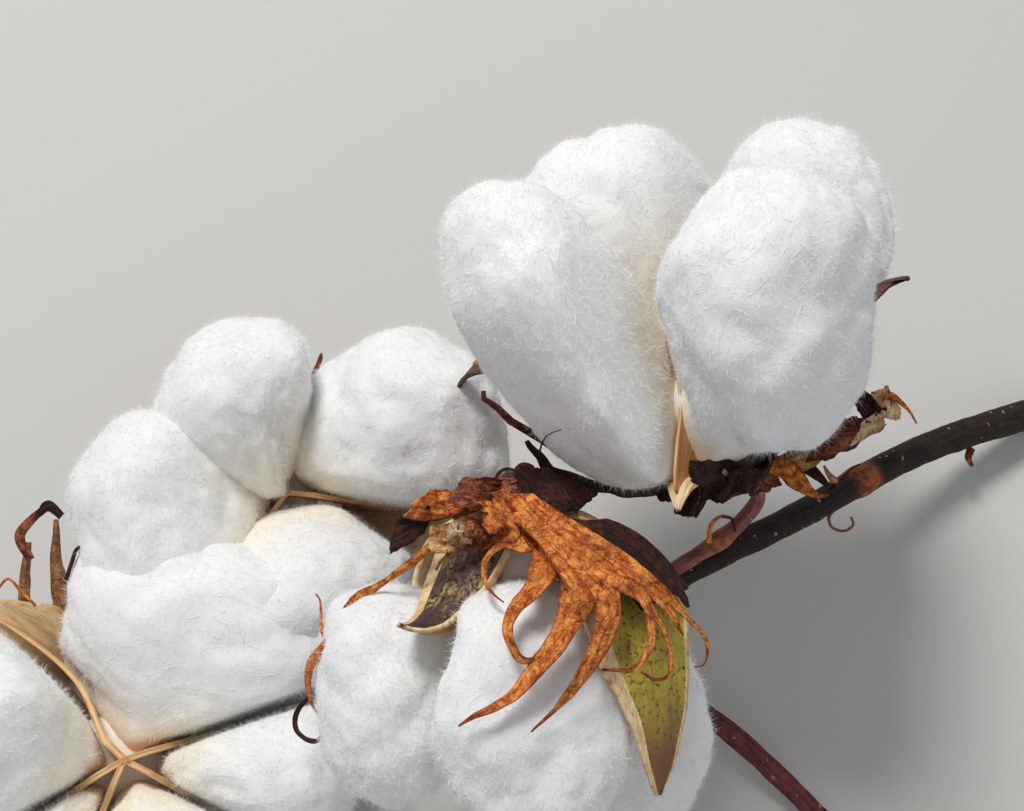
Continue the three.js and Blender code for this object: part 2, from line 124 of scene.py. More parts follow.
# The lint's billows: how high, how wide, and what is added to the lock's seed. Its fluff is finer and even.
BILLOWS = [(2.4, 13.0, 0), (0.8, 5.5, 3)]
FLUFF_HIGH, FLUFF_WIDE, FLUFF_SEED = 0.2, 2.0, 5

# Where lint isn't drawn in detail: this near a septum's plane, and this near the boll's axis or its foot,
# unless it is this far above the septa.
PRESSED, INNERMOST, LOWEST, CLEAR_ABOVE = 2.4, 7, 3, 2

# How strongly the lint between the locks is tinted with painted glow, warm light as bounced in the depths,
# and over which heights, distances from the boll's axis and distances from a septum's plane that fades.
PAINTED_GLOW_MOST = 0.9
PAINTED_GLOW_HEIGHTS, PAINTED_GLOW_RADII, PAINTED_GLOW_GAPS = (24, 50), (8, 24), (1, 11)

# How far out from the boll's axis the septa's top edges would meet its foot.
SEPTUM_RUN = 34

# The solids' facets lie inside the round surface that they are drawn from, by about this share of its size.
FACET_SHARE = 0.045

# How far a stem's node swells along it, and how high and wide its bark's ridges are.
NODE_MM = 3.0
BARK_RIDGES = [(0.10, 1.6, 0), (0.16, 5.0, 1)]

# How finely the dressed forms are divided.
LOCK_CELLS = 34
STEM_ROW_MM = 0.9
STEM_SIDES = 28
VALVE_ROWS, VALVE_COLUMNS = 44, 19
SEPTUM_ROWS = 26
BODY_ROWS, TOOTH_ROWS, TOOTH_COLUMNS = 18, 40, 15


def unit(v):
    return v / np.linalg.norm(v, axis=-1, keepdims=True)


def smooth(t):
    """0 up to 0, 1 from 1 on, and an even ease between them."""
    t = np.clip(t, 0, 1)
    return t * t * (3 - 2 * t)


def fading(values, span):
    """1 up to the span's start, 0 from its end on, and an even ease between them."""
    start, end = span
    return 1 - smooth((values - start) / (end - start))


def through(values, t):
    """Quadratic through three values, at 0, one half and 1."""
    start, middle, end = values
    return start * (1 - t) * (1 - 2 * t) + middle * 4 * t * (1 - t) + end * t * (2 * t - 1)


def to_row(points):
    """Points of the branch's frame, in millimetres, as points of the row's frame, in metres."""
    return (np.asarray(points) @ TURN.T + MIDDLE) * MM


dice = np.random.default_rng(20)
SLOPES = unit(dice.normal(size=(256, 3)))
SHUFFLE = dice.permutation(256)


def noise(points, size, seed):
    """Smooth noise, from about -1 to 1, whose lumps are as large as size."""
    shape = points.shape[:-1]
    at = points.reshape(-1, 3) / size + 31.7 * seed
    cell = np.floor(at).astype(int)
    local = at - cell
    fade = local**3 * (local * (6 * local - 15) + 10)
    total = np.zeros(len(at))
    for corner in np.ndindex(2, 2, 2):
        x, y, z = ((cell + corner) & 255).T
        slope = SLOPES[SHUFFLE[(SHUFFLE[(SHUFFLE[x] + y) & 255] + z) & 255]]
        share = np.prod(np.where(corner, fade, 1 - fade), axis=1)
        total += share * ((local - corner) * slope).sum(axis=1)
    return 1.7 * total.reshape(shape)


def tufts(points, size, seed):
    """Round lumps with soft creases between them, about as high as they are deep."""
    return np.sqrt(noise(points, size, seed) ** 2 + 0.02) - 0.38


def crumple(points, size, height, seed):
    """Moves each point by smooth noise of its own along each axis."""
    height = np.broadcast_to(height, points.shape[:-1])[..., None]
    shift = np.stack([noise(points, size, seed + k) for k in range(3)], axis=-1)
    return points + height * shift


def spline(points, count):
    """A centripetal curve through the points, as count points at equal steps of its length."""
    p = np.array(points, float)
    p = np.vstack([2 * p[0] - p[1], p, 2 * p[-1] - p[-2]])
    parts = []
    for i in range(1, len(p) - 2):
        x = p[i - 1 : i + 3]
        d = np.sqrt(np.linalg.norm(np.diff(x, axis=0), axis=1))
        leave = (x[1] - x[0]) / d[0] - (x[2] - x[0]) / (d[0] + d[1]) + (x[2] - x[1]) / d[1]
        arrive = (x[2] - x[1]) / d[1] - (x[3] - x[1]) / (d[1] + d[2]) + (x[3] - x[2]) / d[2]
        a, b = leave * d[1], arrive * d[1]
        s = np.linspace(0, 1, 25)[:, None]
        square, cube = 3 * (x[2] - x[1]) - 2 * a - b, 2 * (x[1] - x[2]) + a + b
        parts.append(x[1] + a * s + square * s**2 + cube * s**3)
    fine = np.vstack(parts)
    run = np.append(0, np.cumsum(np.linalg.norm(np.diff(fine, axis=0), axis=1)))
    at = np.linspace(0, run[-1], count)
    return np.column_stack([np.interp(at, run, fine[:, k]) for k in range(3)])


def circle(count):
    """Equal angles round a whole turn."""
    return np.linspace(0, 2 * math.pi, count, endpoint=False)


def from_axis(points):
    """How far points in a boll's frame are from its axis."""
    return np.linalg.norm(points[..., :2], axis=-1)


def normals_of(grid):
    return unit(np.cross(np.gradient(grid, axis=0), np.gradient(grid, axis=1)))


def outward(points, faces):
    """The faces of a closed form, all turned so that they look out."""
    corners = points[faces]
    area = np.cross(corners[:, 1] - corners[:, 0], corners[:, 2] - corners[:, 0])
    if faces.shape[1] == 4:
        area = area + np.cross(corners[:, 2] - corners[:, 0], corners[:, 3] - corners[:, 0])
    inside = ((corners.mean(axis=1) - points.mean(axis=0)) * area).sum() < 0
    return faces[:, ::-1] if inside else faces


def grid_quads(rows, columns):
    cell = (np.arange(rows - 1)[:, None] * columns + np.arange(columns - 1)).ravel()
    return np.stack([cell, cell + columns, cell + columns + 1, cell + 1], axis=1)


def shell(grid, thick):
    """A thin closed sheet round a grid of points, as points, quads and each quad's side: 0 is the side that
    rows x columns looks to, 1 the other side and 2 the edge."""
    rows, columns, _ = grid.shape
    half = np.broadcast_to(thick, (rows, columns))[..., None] / 2 * normals_of(grid)
    points = np.concatenate([(grid + half).reshape(-1, 3), (grid - half).reshape(-1, 3)])
    front = grid_quads(rows, columns)
    index = np.arange(rows * columns).reshape(rows, columns)
    ring = np.concatenate([index[:-1, 0], index[-1, :-1], index[:0:-1, -1], index[0, :0:-1]])
    after = np.roll(ring, -1)
    edge = np.stack([ring, ring + rows * columns, after + rows * columns, after], axis=1)
    quads = np.concatenate([front, front[:, ::-1] + rows * columns, edge])
    return points, quads, np.repeat([0, 1, 2], [len(front), len(front), len(edge)])


def grain_of(grid, seed):
    """Millimetres across and along a grid of points, for each side of its sheet."""
    middle = grid.shape[1] // 2
    across = np.cumsum(np.linalg.norm(np.diff(grid, axis=1, prepend=grid[:, :1]), axis=2), axis=1)
    along = np.cumsum(np.linalg.norm(np.diff(grid[:, middle], axis=0, prepend=grid[:1, middle]), axis=1))
    across = across - across[:, middle, None]
    grain = np.stack(np.broadcast_arrays(across, along[:, None], 10.0 * seed), axis=-1)
    return np.tile(grain.reshape(-1, 3), (2, 1))


def loft(rings):
    """A closed form through rings of equal count, as points, quads and the triangles of its two ends."""
    rows, count, _ = rings.shape
    points = np.concatenate([rings.reshape(-1, 3), rings[[0, -1]].mean(axis=1)])
    index = np.arange(rows * count).reshape(rows, count)
    after = np.roll(index, -1, axis=1)
    quads = np.stack([index[:-1], after[:-1], after[1:], index[1:]], axis=-1).reshape(-1, 4)
    foot = np.stack([np.full(count, rows * count), after[0], index[0]], axis=1)
    top = np.stack([np.full(count, rows * count + 1), index[-1], after[-1]], axis=1)
    turned = outward(points, quads)
    ends = np.concatenate([foot, top])
    return points, turned, ends if turned is quads else ends[:, ::-1]


def ribbons(paths, sideways, width, pointed_foot):
    """Thin strips along paths (strip, step, xyz), as wide as width at each step, that end in a point."""
    strips, steps, _ = paths.shape
    half = sideways * np.broadcast_to(width, (strips, steps))[..., None] / 2
    first = 1 if pointed_foot else 0
    pairs = np.stack([paths - half, paths + half], axis=2)[:, first:-1].reshape(strips, -1, 3)
    ends = paths[:, [-1, 0]] if pointed_foot else paths[:, -1:]
    points = np.concatenate([pairs, ends], axis=1)
    count, tip = points.shape[1], pairs.shape[1]
    k = np.arange(tip // 2 - 1) * 2
    quads = np.stack([k, k + 2, k + 3, k + 1], axis=1)
    triangles = [[tip - 2, tip, tip - 1]] + [[0, 1, tip + 1]] * first
    base = np.arange(strips)[:, None, None] * count
    return points.reshape(-1, 3), ((base + quads).reshape(-1, 4), (base + triangles).reshape(-1, 3))


def linked(name, data):
    """A new object with this data, in the scene."""
    made = bpy.data.objects.new(name, data)
    bpy.context.scene.collection.objects.link(made)
    return made


class Form:
    """Points and faces that grow into one mesh. Each face has a look, and each point a shade from 0 to 1 and
    a place in its own grain, across it and along it in millimetres."""

    def __init__(self):
        self.points, self.faces, self.looks, self.shades, self.grains, self.count = [], [], [], [], [], 0

    def add(self, points, faces, look, shade=0.0, grain=None):
        self.points.append(points)
        self.shades.append(np.broadcast_to(shade, len(points)))
        self.grains.append(points if grain is None else grain)
        for some in faces if isinstance(faces, tuple) else (faces,):
            self.faces.append(some + self.count)
            self.looks.append(np.broadcast_to(look, len(some)))
        self.count += len(points)

    def build(self, name, slot, nodes=()):
        """Makes the piece, in the row's frame, with one material for each look, in place of the CAD's
        nodes."""
        used = sorted(set(np.concatenate(self.looks)))
        mesh = bpy.data.meshes.new(name)
        sizes = np.concatenate([np.full(len(f), f.shape[1]) for f in self.faces])
        corners = np.concatenate([f.ravel() for f in self.faces])
        mesh.vertices.add(self.count)
        mesh.vertices.foreach_set("co", to_row(np.concatenate(self.points)).astype(np.float32).ravel())
        mesh.loops.add(len(corners))
        mesh.loops.foreach_set("vertex_index", corners.astype(np.int32))
        mesh.polygons.add(len(sizes))
        mesh.polygons.foreach_set("loop_start", np.append(0, np.cumsum(sizes)[:-1]).astype(np.int32))
        mesh.polygons.foreach_set("use_smooth", np.ones(len(sizes), bool))
        indices = np.searchsorted(used, np.concatenate(self.looks))
        mesh.polygons.foreach_set("material_index", indices.astype(np.int32))
        for look in used:
            mesh.materials.append(LOOKS[look])
        shade = mesh.attributes.new("shade", "FLOAT", "POINT")
        shade.data.foreach_set("value", np.concatenate(self.shades).astype(np.float32))
        grain = mesh.attributes.new("grain", "FLOAT_VECTOR", "POINT")
        grain.data.foreach_set("vector", np.concatenate(self.grains).astype(np.float32).ravel())
        mesh.update(calc_edges=True)
        piece = linked(name, mesh)
        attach(piece, "root")
        if nodes:
            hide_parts(*nodes)


class Look:
    """A material: a Principled shader with values of its own, fed by procedural nodes."""

    def __init__(self, name, **values):
        self.material = bpy.data.materials.new(name)
        self.material.use_nodes = True
        self.tree = self.material.node_tree
        self.shader = self.tree.nodes["Principled BSDF"]
        for socket, value in values.items():
            self.feed(self.shader.inputs[socket.replace("_", " ")], value)
        self.place = self.node("TexCoord").outputs["Object"]
        self.shade = self.node("Attribute", attribute_name="shade").outputs["Fac"]

    def feed(self, socket, value):
        """Links the socket to another, or gives it a number or colour of its own."""
        if isinstance(value, bpy.types.NodeSocket):
            self.tree.links.new(value, socket)
        else:
            socket.default_value = (*value, 1) if socket.type == "RGBA" else value

    def node(self, kind, inputs=None, **settings):
        made = self.tree.nodes.new("ShaderNode" + kind)
        for key, value in settings.items():
            setattr(made, key, value)
        for key, value in (inputs or {}).items():
            self.feed(made.inputs[key], value)
        return made

    def noise(self, size, detail, roughness=0.55, distortion=0.0):
        """Noise whose lumps are about size millimetres wide."""
        values = {"Vector": self.place, "Scale": 1 / (size * MM), "Detail": detail}
        values |= {"Roughness": roughness, "Distortion": distortion}
        return self.node("TexNoise", values).outputs["Fac"]

    def streaks(self, place, sizes, **values):
        """Noise stretched to these sizes along the axes of place."""
        scale = tuple(1 / size for size in sizes)
        stretched = self.node("VectorMath", {0: place, 1: scale}, operation="MULTIPLY").outputs[0]
        return self.node("TexNoise", {"Vector": stretched, "Scale": 1.0} | values).outputs["Fac"]

    def grain(self, wide, long, detail, distortion=0.0):
        """Noise along the form's own grain, whose streaks are about wide and long millimetres."""
        place = self.node("Attribute", attribute_name="grain").outputs["Vector"]
        return self.streaks(place, (wide, long, wide), Detail=detail, Distortion=distortion)

    def strands(self, sizes):
        """Noise stretched to strands of these sizes in millimetres along the row's axes."""
        metres = [size * MM for size in sizes]
        return self.streaks(self.place, metres, Detail=4.0, Roughness=0.6, Distortion=1.4)

    def ramp(self, factor, *stops):
        """Colours at places along 0 to 1."""
        made = self.node("ValToRGB", {"Fac": factor})
        elements = made.color_ramp.elements
        for n, (at, colour) in enumerate(stops):
            element = elements[n] if n < 2 else elements.new(at)
            element.position = at
            element.color = (*colour, 1) if np.ndim(colour) else (colour, colour, colour, 1)
        return made.outputs["Color"]

    def mix(self, factor, a, b):
        return self.node("Mix", {0: factor, 6: a, 7: b}, data_type="RGBA", clamp_factor=True).outputs[2]

    def add(self, a, b):
        return self.node("Math", {0: a, 1: b}, operation="ADD").outputs[0]

    def times(self, a, share):
        return self.node("Math", {0: a, 1: share}, operation="MULTIPLY").outputs[0]

    def finish(self, colour, height=None, depth=0.2, strength=1.0):
        """Feeds the shader. depth is the relief's height in millimetres."""
        self.feed(self.shader.inputs["Base Color"], colour)
        if height is not None:
            bump = self.node("Bump", {"Height": height, "Distance": depth * MM, "Strength": strength})
            self.tree.links.new(bump.outputs["Normal"], self.shader.inputs["Normal"])
        return self.material


# Materials.
def lint_look():
    """Matted fibre: soft billows, with strands that run one way or the other, and a painted warm glow of
    bounced light where the shade says so."""
    look = Look("lint", Roughness=1.0, Sheen_Weight=0.2)
    which = look.ramp(look.noise(4.0, detail=3, distortion=1.0), (0.42, 0.0), (0.58, 1.0))
    down, over = look.strands((1.4, 0.2, 0.9)), look.strands((0.2, 1.2, 0.7))
    strands = look.mix(which, down, over)
    tufts = look.noise(2.6, detail=5, roughness=0.6, distortion=0.8)
    white = look.mix(strands, (0.86, 0.865, 0.87), (0.96, 0.96, 0.955))
    # The cream mixed in here by the shade attribute is painted glow, standing in for warm light bounced
    # between the locks.
    painted_cream = look.mix(look.shade, white, (0.97, 0.87, 0.64))
    height = look.add(look.times(strands, 0.45), look.times(tufts, 0.35))
    return look.finish(painted_cream, height, depth=0.45, strength=0.5)


def fibre_look():
    look = Look("lint_fibre", Roughness=1.0)
    return look.finish((0.95, 0.95, 0.95))


def husk_inside_look():
    look = Look("husk_inside", Roughness=0.62)
    veins = look.grain(0.9, 6.0, detail=6, distortion=0.8)
    base = look.ramp(veins, (0.3, (0.52, 0.28, 0.11)), (0.5, (0.76, 0.53, 0.28)), (0.7, (0.88, 0.73, 0.49)))
    return look.finish(look.mix(look.shade, base, (0.80, 0.64, 0.36)), veins, depth=0.2)


def husk_rim_look():
    look = Look("husk_rim", Roughness=0.6)
    fine = look.grain(0.4, 1.6, detail=5)
    patches = look.noise(4.0, detail=3)
    cream = look.ramp(fine, (0.32, (0.50, 0.26, 0.10)), (0.46, (0.82, 0.60, 0.32)), (0.7, (0.90, 0.77, 0.52)))
    stained = look.mix(look.ramp(patches, (0.42, 0.0), (0.7, 0.7)), cream, (0.68, 0.36, 0.13))
    return look.finish(stained, fine, depth=0.12)


def husk_outside_look(name, stops, specks, speck_share, tip):
    """The dry outer skin of a valve, blotched between its colours, dotted with dark glands and dry at its
    tip."""
    look = Look(name, Roughness=0.58)
    blotches = look.noise(3.4, detail=6, roughness=0.6, distortion=0.5)
    streaks = look.grain(0.8, 5.0, detail=5, distortion=0.5)
    mixed = look.add(look.times(blotches, 0.6), look.times(streaks, 0.4))
    skin = look.mix(look.ramp(look.shade, (0.08, 1.0), (0.22, 0.0)), look.ramp(mixed, *stops), tip)
    dots = look.noise(0.75, detail=3, roughness=0.6)
    mask = look.ramp(dots, (speck_share, 1.0), (speck_share + 0.07, 0.0))
    scabs = look.ramp(look.noise(2.2, detail=2), (0.28, 1.0), (0.33, 0.0))
    colour = look.mix(scabs, look.mix(mask, skin, specks), specks)
    return look.finish(colour, look.add(dots, mixed), depth=0.14)


def septum_look():
    look = Look("septum", Roughness=0.6)
    grain = look.grain(0.5, 3.0, detail=5, distortion=0.6)
    lip = look.ramp(grain, (0.3, (0.40, 0.15, 0.04)), (0.5, (0.64, 0.29, 0.09)), (0.7, (0.78, 0.48, 0.22)))
    return look.finish(look.mix(look.shade, lip, (0.80, 0.56, 0.30)), grain, depth=0.15)


def bract_look(name, dark, middle, bright):
    """Dry leaf: mottled, netted with fine veins, darker towards its edges and tips."""
    look = Look(name, Roughness=0.62, Specular_IOR_Level=0.3)
    mottle = look.noise(1.9, detail=7, roughness=0.7, distortion=0.8)
    cells = {"Vector": look.place, "Scale": 1 / (2.4 * MM), "Randomness": 1.0}
    net = look.node("TexVoronoi", cells, feature="DISTANCE_TO_EDGE").outputs[0]
    veins = look.ramp(net, (0.0, 1.0), (0.05, 0.0))
    streaks = look.grain(0.55, 5.0, detail=5, distortion=0.5)
    mixed = look.add(look.times(mottle, 0.75), look.times(streaks, 0.25))
    skin = look.ramp(mixed, (0.38, dark), (0.47, middle), (0.58, bright))
    patches = look.ramp(look.noise(5.5, detail=5, roughness=0.65), (0.50, 0.0), (0.64, 0.5))
    skin = look.mix(patches, skin, dark)
    specks = look.ramp(look.noise(0.7, detail=6, roughness=0.7), (0.38, 0.8), (0.44, 0.0))
    colour = look.mix(specks, skin, dark)
    colour = look.mix(look.times(veins, 0.25), colour, dark)
    colour = look.mix(look.times(look.shade, 0.75), colour, dark)
    return look.finish(colour, look.add(mixed, look.times(veins, -0.2)), depth=0.6)


def bark_look(name, dark, bright, node, lenticels):
    """Bark with fine lengthwise cracks and pale pores, turning to the colour node where the shade says so."""
    look = Look(name, Roughness=0.72, Specular_IOR_Level=0.3)
    mottle = look.noise(2.2, detail=7, roughness=0.62, distortion=0.4)
    cracks = look.grain(0.7, 7.0, detail=6, distortion=0.4)
    grain = look.add(look.times(mottle, 0.45), look.times(cracks, 0.55))
    skin = look.ramp(grain, (0.36, dark), (0.66, bright))
    pores = look.ramp(look.noise(1.5, detail=1), (0.70, 0.0), (0.74, 1.0))
    colour = look.mix(pores, skin, lenticels)
    patch = look.mix(look.ramp(look.noise(1.6, detail=5), (0.35, 0.25), (0.6, 1.0)), dark, node)
    return look.finish(look.mix(look.shade, colour, patch), look.add(grain, pores), depth=0.25)


def cut_look():
    look = Look("cut_wood", Roughness=0.75)
    grain = look.noise(0.5, detail=4)
    bark, sapwood, heart = (0.30, 0.20, 0.11), (0.74, 0.60, 0.38), (0.66, 0.50, 0.28)
    rings = look.ramp(look.shade, (0.0, bark), (0.16, sapwood), (0.84, heart))
    return look.finish(look.mix(look.times(grain, 0.5), rings, (0.42, 0.28, 0.14)), grain, depth=0.1)


def floor_look():
    look = Look("floor", Roughness=0.8)
    return look.finish((0.60, 0.585, 0.56))


LOOKS = {
    "lint": lint_look(),
    "lint_fibre": fibre_look(),
    "husk_inside": husk_inside_look(),
    "husk_rim": husk_rim_look(),
    "septum": septum_look(),
    "cut_wood": cut_look(),
    "floor": floor_look(),
}
# The outer skins of valves: where each of three colours lies on the blotches, the glands' colour and share,
# and the tip's colour.
for name, stops, colours, specks, speck_share, tip in [
    ("husk_tan", (0.3, 0.5, 0.7), [(0.20, 0.09, 0.035), (0.42, 0.23, 0.09), (0.60, 0.40, 0.19)],
     (0.08, 0.03, 0.015), 0.36, (0.30, 0.14, 0.05)),
    ("husk_green", (0.34, 0.48, 0.64), [(0.26, 0.18, 0.035), (0.43, 0.33, 0.035), (0.54, 0.48, 0.05)],
     (0.16, 0.06, 0.015), 0.36, (0.20, 0.085, 0.03)),
    ("husk_dark", (0.36, 0.54, 0.70), [(0.030, 0.012, 0.012), (0.08, 0.035, 0.028), (0.26, 0.15, 0.06)],
     (0.02, 0.008, 0.008), 0.44, (0.022, 0.012, 0.010)),
    ("husk_purple", (0.34, 0.50, 0.62), [(0.045, 0.016, 0.016), (0.15, 0.07, 0.045), (0.40, 0.36, 0.10)],
     (0.02, 0.008, 0.008), 0.42, (0.03, 0.014, 0.012)),
    ("husk_brown", (0.34, 0.52, 0.68), [(0.06, 0.022, 0.010), (0.20, 0.085, 0.030), (0.44, 0.22, 0.08)],
     (0.03, 0.012, 0.008), 0.40, (0.10, 0.04, 0.02)),
]:
    LOOKS[name] = husk_outside_look(name, list(zip(stops, colours)), specks, speck_share, tip)
# Dry leaves, as their dark, middle and bright colours.
for name, *colours in [
    ("bract", (0.17, 0.022, 0.005), (0.62, 0.15, 0.022), (0.96, 0.38, 0.085)),
    ("bract_red", (0.035, 0.006, 0.004), (0.15, 0.032, 0.014), (0.42, 0.13, 0.04)),
    ("bract_cream", (0.32, 0.16, 0.07), (0.62, 0.42, 0.22), (0.86, 0.72, 0.48)),
    ("bract_tan", (0.16, 0.055, 0.02), (0.45, 0.20, 0.07), (0.74, 0.46, 0.20)),
    ("bract_dark", (0.008, 0.002, 0.001), (0.024, 0.005, 0.003), (0.085, 0.018, 0.008)),
]:
    LOOKS[name] = bract_look(name, *colours)
# Barks, as the colours of their cracks, their ridges, their nodes and their pores.
for name, *colours in [
    ("bark", (0.006, 0.003, 0.002), (0.036, 0.022, 0.016), (0.46, 0.12, 0.03), (0.30, 0.24, 0.20)),
    ("red_bark", (0.045, 0.008, 0.010), (0.20, 0.045, 0.045), (0.40, 0.13, 0.07), (0.35, 0.18, 0.15)),
    ("pedicel", (0.14, 0.04, 0.035), (0.42, 0.17, 0.14), (0.50, 0.18, 0.07), (0.5, 0.33, 0.28)),
]:
    LOOKS[name] = bark_look(name, *colours)


HUSK_LOOKS = ("husk_inside", "husk_rim", "husk_tan")
GREEN_LOOKS = ("husk_inside", "husk_rim", "husk_green")
PURPLE_LOOKS = ("husk_inside", "husk_rim", "husk_purple")
BROWN_LOOKS = ("husk_brown", "husk_brown", "husk_dark")


VALVE_DEFAULTS = {"drift": 0.0, "open": 0.0, "grow": 0.0, "deep": 0.0, "waist": 0.0, "bow": 0.0, "lip": 1.0}


def valve(azimuth, length, headings, width=1.0, looks=HUSK_LOOKS, **more):
    """looks are those of its inside, its rims and its outside. Of the rest, in millimetres, drift and open
    are how far the seam of the lint above its septum leaves its plane, towards greater azimuths, and how wide
    it gapes, grow is the share of both that the seam only has far from the boll's axis, deep is how far below
    the septum's edge it starts, and bow is how far its middle bends aside. waist is the share of its width
    that its foot lacks, and lip is how wide the septum's lips are, as a share of the usual."""
    spec = {"azimuth": azimuth, "length": length, "headings": headings, "width": width, "looks": looks}
    return VALVE_DEFAULTS | spec | more


def lock(azimuth, reach, rise, long, wide, deep, lean, seed):
    """reach and rise are its middle's distances from the boll's axis and foot, and lean how far it leans out,
    in degrees."""
    half = np.array([wide, deep, long]) / 2
    return {"azimuth": azimuth, "reach": reach, "rise": rise, "half": half, "lean": lean, "seed": seed}


def bract(azimuth, seed, look="bract"):
    """A bract folded back under its boll, whose teeth (length, curl, sweep) vary by a fixed rule."""
    k = np.arange(TEETH)
    lengths = TOOTH_LENGTH * (1 + LENGTH_VARIES * np.sin(2.3 * k + seed))
    curls = TOOTH_CURL * (1 + CURL_VARIES * np.sin(3.1 * k + 1.7 * seed))
    teeth = list(zip(lengths, curls, SWEEP_DEG * np.sin(1.9 * k + 0.6 * seed)))
    return {"azimuth": azimuth, "teeth": teeth, "look": look}


# The stems, nearly as in the solids. Each runs from its cut or lower end to the foot of its boll.
FORK = [14, -46, -36]
STEMS = {
    "main_stem": {
        "points": [[121, 0.5, -78.6], [85, -9, -60], [54, -22, -40], [31, -32.5, -33], FORK],
        "radii": (3.3, 2.4), "nodes": [0.475], "swell": 0.45, "look": "bark", "slot": "bark", "cut": True,
    },
    "lower_stem": {
        "points": [[67, -87, -39.2], [43, -64, -41], [26, -52, -39], [16, -44, -39]],
        "radii": (1.9, 2.1), "look": "red_bark", "slot": "stalk", "cut": True,
    },
    "upper_stalk": {
        "points": [
            [18, -41, -34], [30, -30.5, -28], [39, -23.5, -22.5], [44, -16.5, -18], [40.5, -12.6, -13],
        ],
        "radii": (1.5, 1.35), "nodes": [0.6], "swell": 0.5, "look": "pedicel", "slot": "stalk",
    },
    "front_stalk": {
        "points": [[12.5, -42.5, -34], [8, -30, -26], [4, -18, -14], [2, -11.5, 0.5]],
        "radii": (2.1, 2.2), "look": "red_bark", "slot": "stalk",
    },
    "left_stalk": {
        "points": [[10, -47.5, -38.5], [-8, -50, -50], [-27, -40, -60.5], [-46.5, -21.5, -67]],
        "radii": (2.2, 2.2), "look": "red_bark", "slot": "stalk",
    },
    "corner_stalk": {
        "points": [[-9, -53.5, -49], [-26, -63, -48], [-48, -70, -46], [-75, -71.5, -45.5]],
        "radii": (2.0, 2.2), "look": "red_bark", "slot": "stalk",
    },
}

# The bolls, nearly as in the solids. close says how far the locks swell over the septa between them, and foot
# gives the looks of the cup and of the calyx under it.
BOLLS = {
    "upper": {
        "base": [37.4, -9.1, -10], "axis": [-0.36, 0.86, 0.36],
        "close": 0.3, "foot": ("husk_dark", "bract_dark"),
        "valves": [
            valve(-118, 18.5, (80, 62, 150), 0.45, drift=1.6, open=0.0, lip=0.45),
            valve(4, 40, (88, 44, 98), 0.4, BROWN_LOOKS),
            valve(62, 36, (85, 40, 70), open=-0.5), valve(158, 53, (88, 36, 150), 0.6, BROWN_LOOKS),
        ],
        "locks": {
            "left_front": lock(213, 18, 33, 62, 41, 30, 13, 1),
            "right_front": lock(-46, 20, 28.5, 50, 42, 31, 14, 2),
            "right_back": lock(30, 27, 29, 42, 38, 30, 30, 3),
            "left_back": lock(104, 19, 35, 46, 46, 30, 6, 4),
        },
        "bracts": {"right": None, "front": None, "left": None},
    },
    "front": {
        "base": [1.7, -17.1, 0], "axis": [0.02, -1, -0.1],
        "close": 0.2, "foot": ("husk_dark", "bract_red"),
        "valves": [
            valve(134, 29, (85, 36, 118), 0.8, PURPLE_LOOKS, drift=-4.0),
            valve(50, 56, (96, 28, -8), 1.2, GREEN_LOOKS, waist=0.85),
            valve(-58, 44, (85, 8, 24)), valve(-142, 44, (85, 8, 24)),
        ],
        "locks": {
            "left": lock(172, 21.5, 30, 38, 31, 28, 6, 5),
            "centre": lock(84, 16, 30, 44, 38, 26, 4, 6),
            "right": lock(-12, 18, 36, 42, 34, 26, 6, 7),
            "back": lock(-98, 15, 38, 44, 36, 26, 4, 8),
        },
        "bracts": {"fan": None, "dark": None, "left": None},
    },
    "left": {
        "base": [-46, -20.5, -61.5], "axis": [0.12, 0.15, 0.98],
        "close": 1.0, "foot": ("husk_tan", "bract_tan"),
        "valves": [
            valve(-5, 42, (85, 52, 78), drift=-4.0, open=3.5, grow=1.0, deep=9.0, lip=0.6),
            valve(97, 22, (85, 66, 85), 0.6, drift=-4.0, open=-3.0, grow=1.0, lip=0.6),
            valve(155, 27, (85, 60, 85), open=-4.5, lip=0.6),
            valve(235, 36, (85, 60, 85), open=-4.0, lip=0.6),
        ],
        "locks": {
            "right": lock(26, 22.5, 26, 51, 44, 34, 48, 9),
            "top": lock(112, 15, 25, 44, 42, 34, 34, 10),
            "side": lock(188, 20, 25, 47, 46, 32, 38, 11),
            "bottom": lock(278, 17, 24, 42, 46, 34, 32, 12),
        },
        "bracts": {
            "right": bract(0, 7),
            "top": bract(120, 8),
            "side": bract(240, 9, "bract_tan"),
        },
    },
    "corner": {
        "base": [-74.3, -70, -39.5], "axis": [0.22, 0.28, 0.93],
        "close": 0.7, "foot": ("husk_tan", "bract_tan"),
        "valves": [
            valve(20, 38, (85, 55, 80), lip=0.7),
            valve(137, 42, (85, 50, 84), 1.35, drift=-2.8, open=1.0, deep=3.0, bow=-4.0, lip=0.8),
            valve(212, 38, (85, 55, 80), lip=0.7), valve(250, 38, (85, 55, 80), lip=0.7),
            valve(334, 38, (85, 55, 80), lip=0.7),
        ],
        "locks": {
            "top": lock(57, 22.5, 22, 49, 60, 32, 56, 13),
            "side": lock(172, 22, 24, 46, 42, 32, 42, 14),
            "nook": lock(231, 22, 20, 42, 30, 28, 46, 15),
            "bottom": lock(292, 22, 22, 46, 42, 32, 44, 16),
            "right": lock(357, 23, 22, 46, 34, 30, 48, 17),
        },
        "bracts": {
            "side": None,
            "right": bract(26, 11),
            "bottom": bract(266, 12),
        },
    },
}


def home(boll):
    """Where the boll stands in the branch's frame: its right, back and up as columns, and its base."""
    up = unit(np.array(boll["axis"], float))
    right = unit(np.array([1.0, 0, 0]) - up[0] * up)
    return np.column_stack([right, np.cross(up, right), up]), np.array(boll["base"], float)


def placed(boll, points):
    turn, base = home(boll)
    return points @ turn.T + base


def spoke(azimuth):
    a = np.radians(azimuth)
    return np.stack([np.cos(a), np.sin(a), np.zeros_like(a)], axis=-1)


def across_spoke(azimuth):
    return spoke(np.asarray(azimuth) + 90.0)


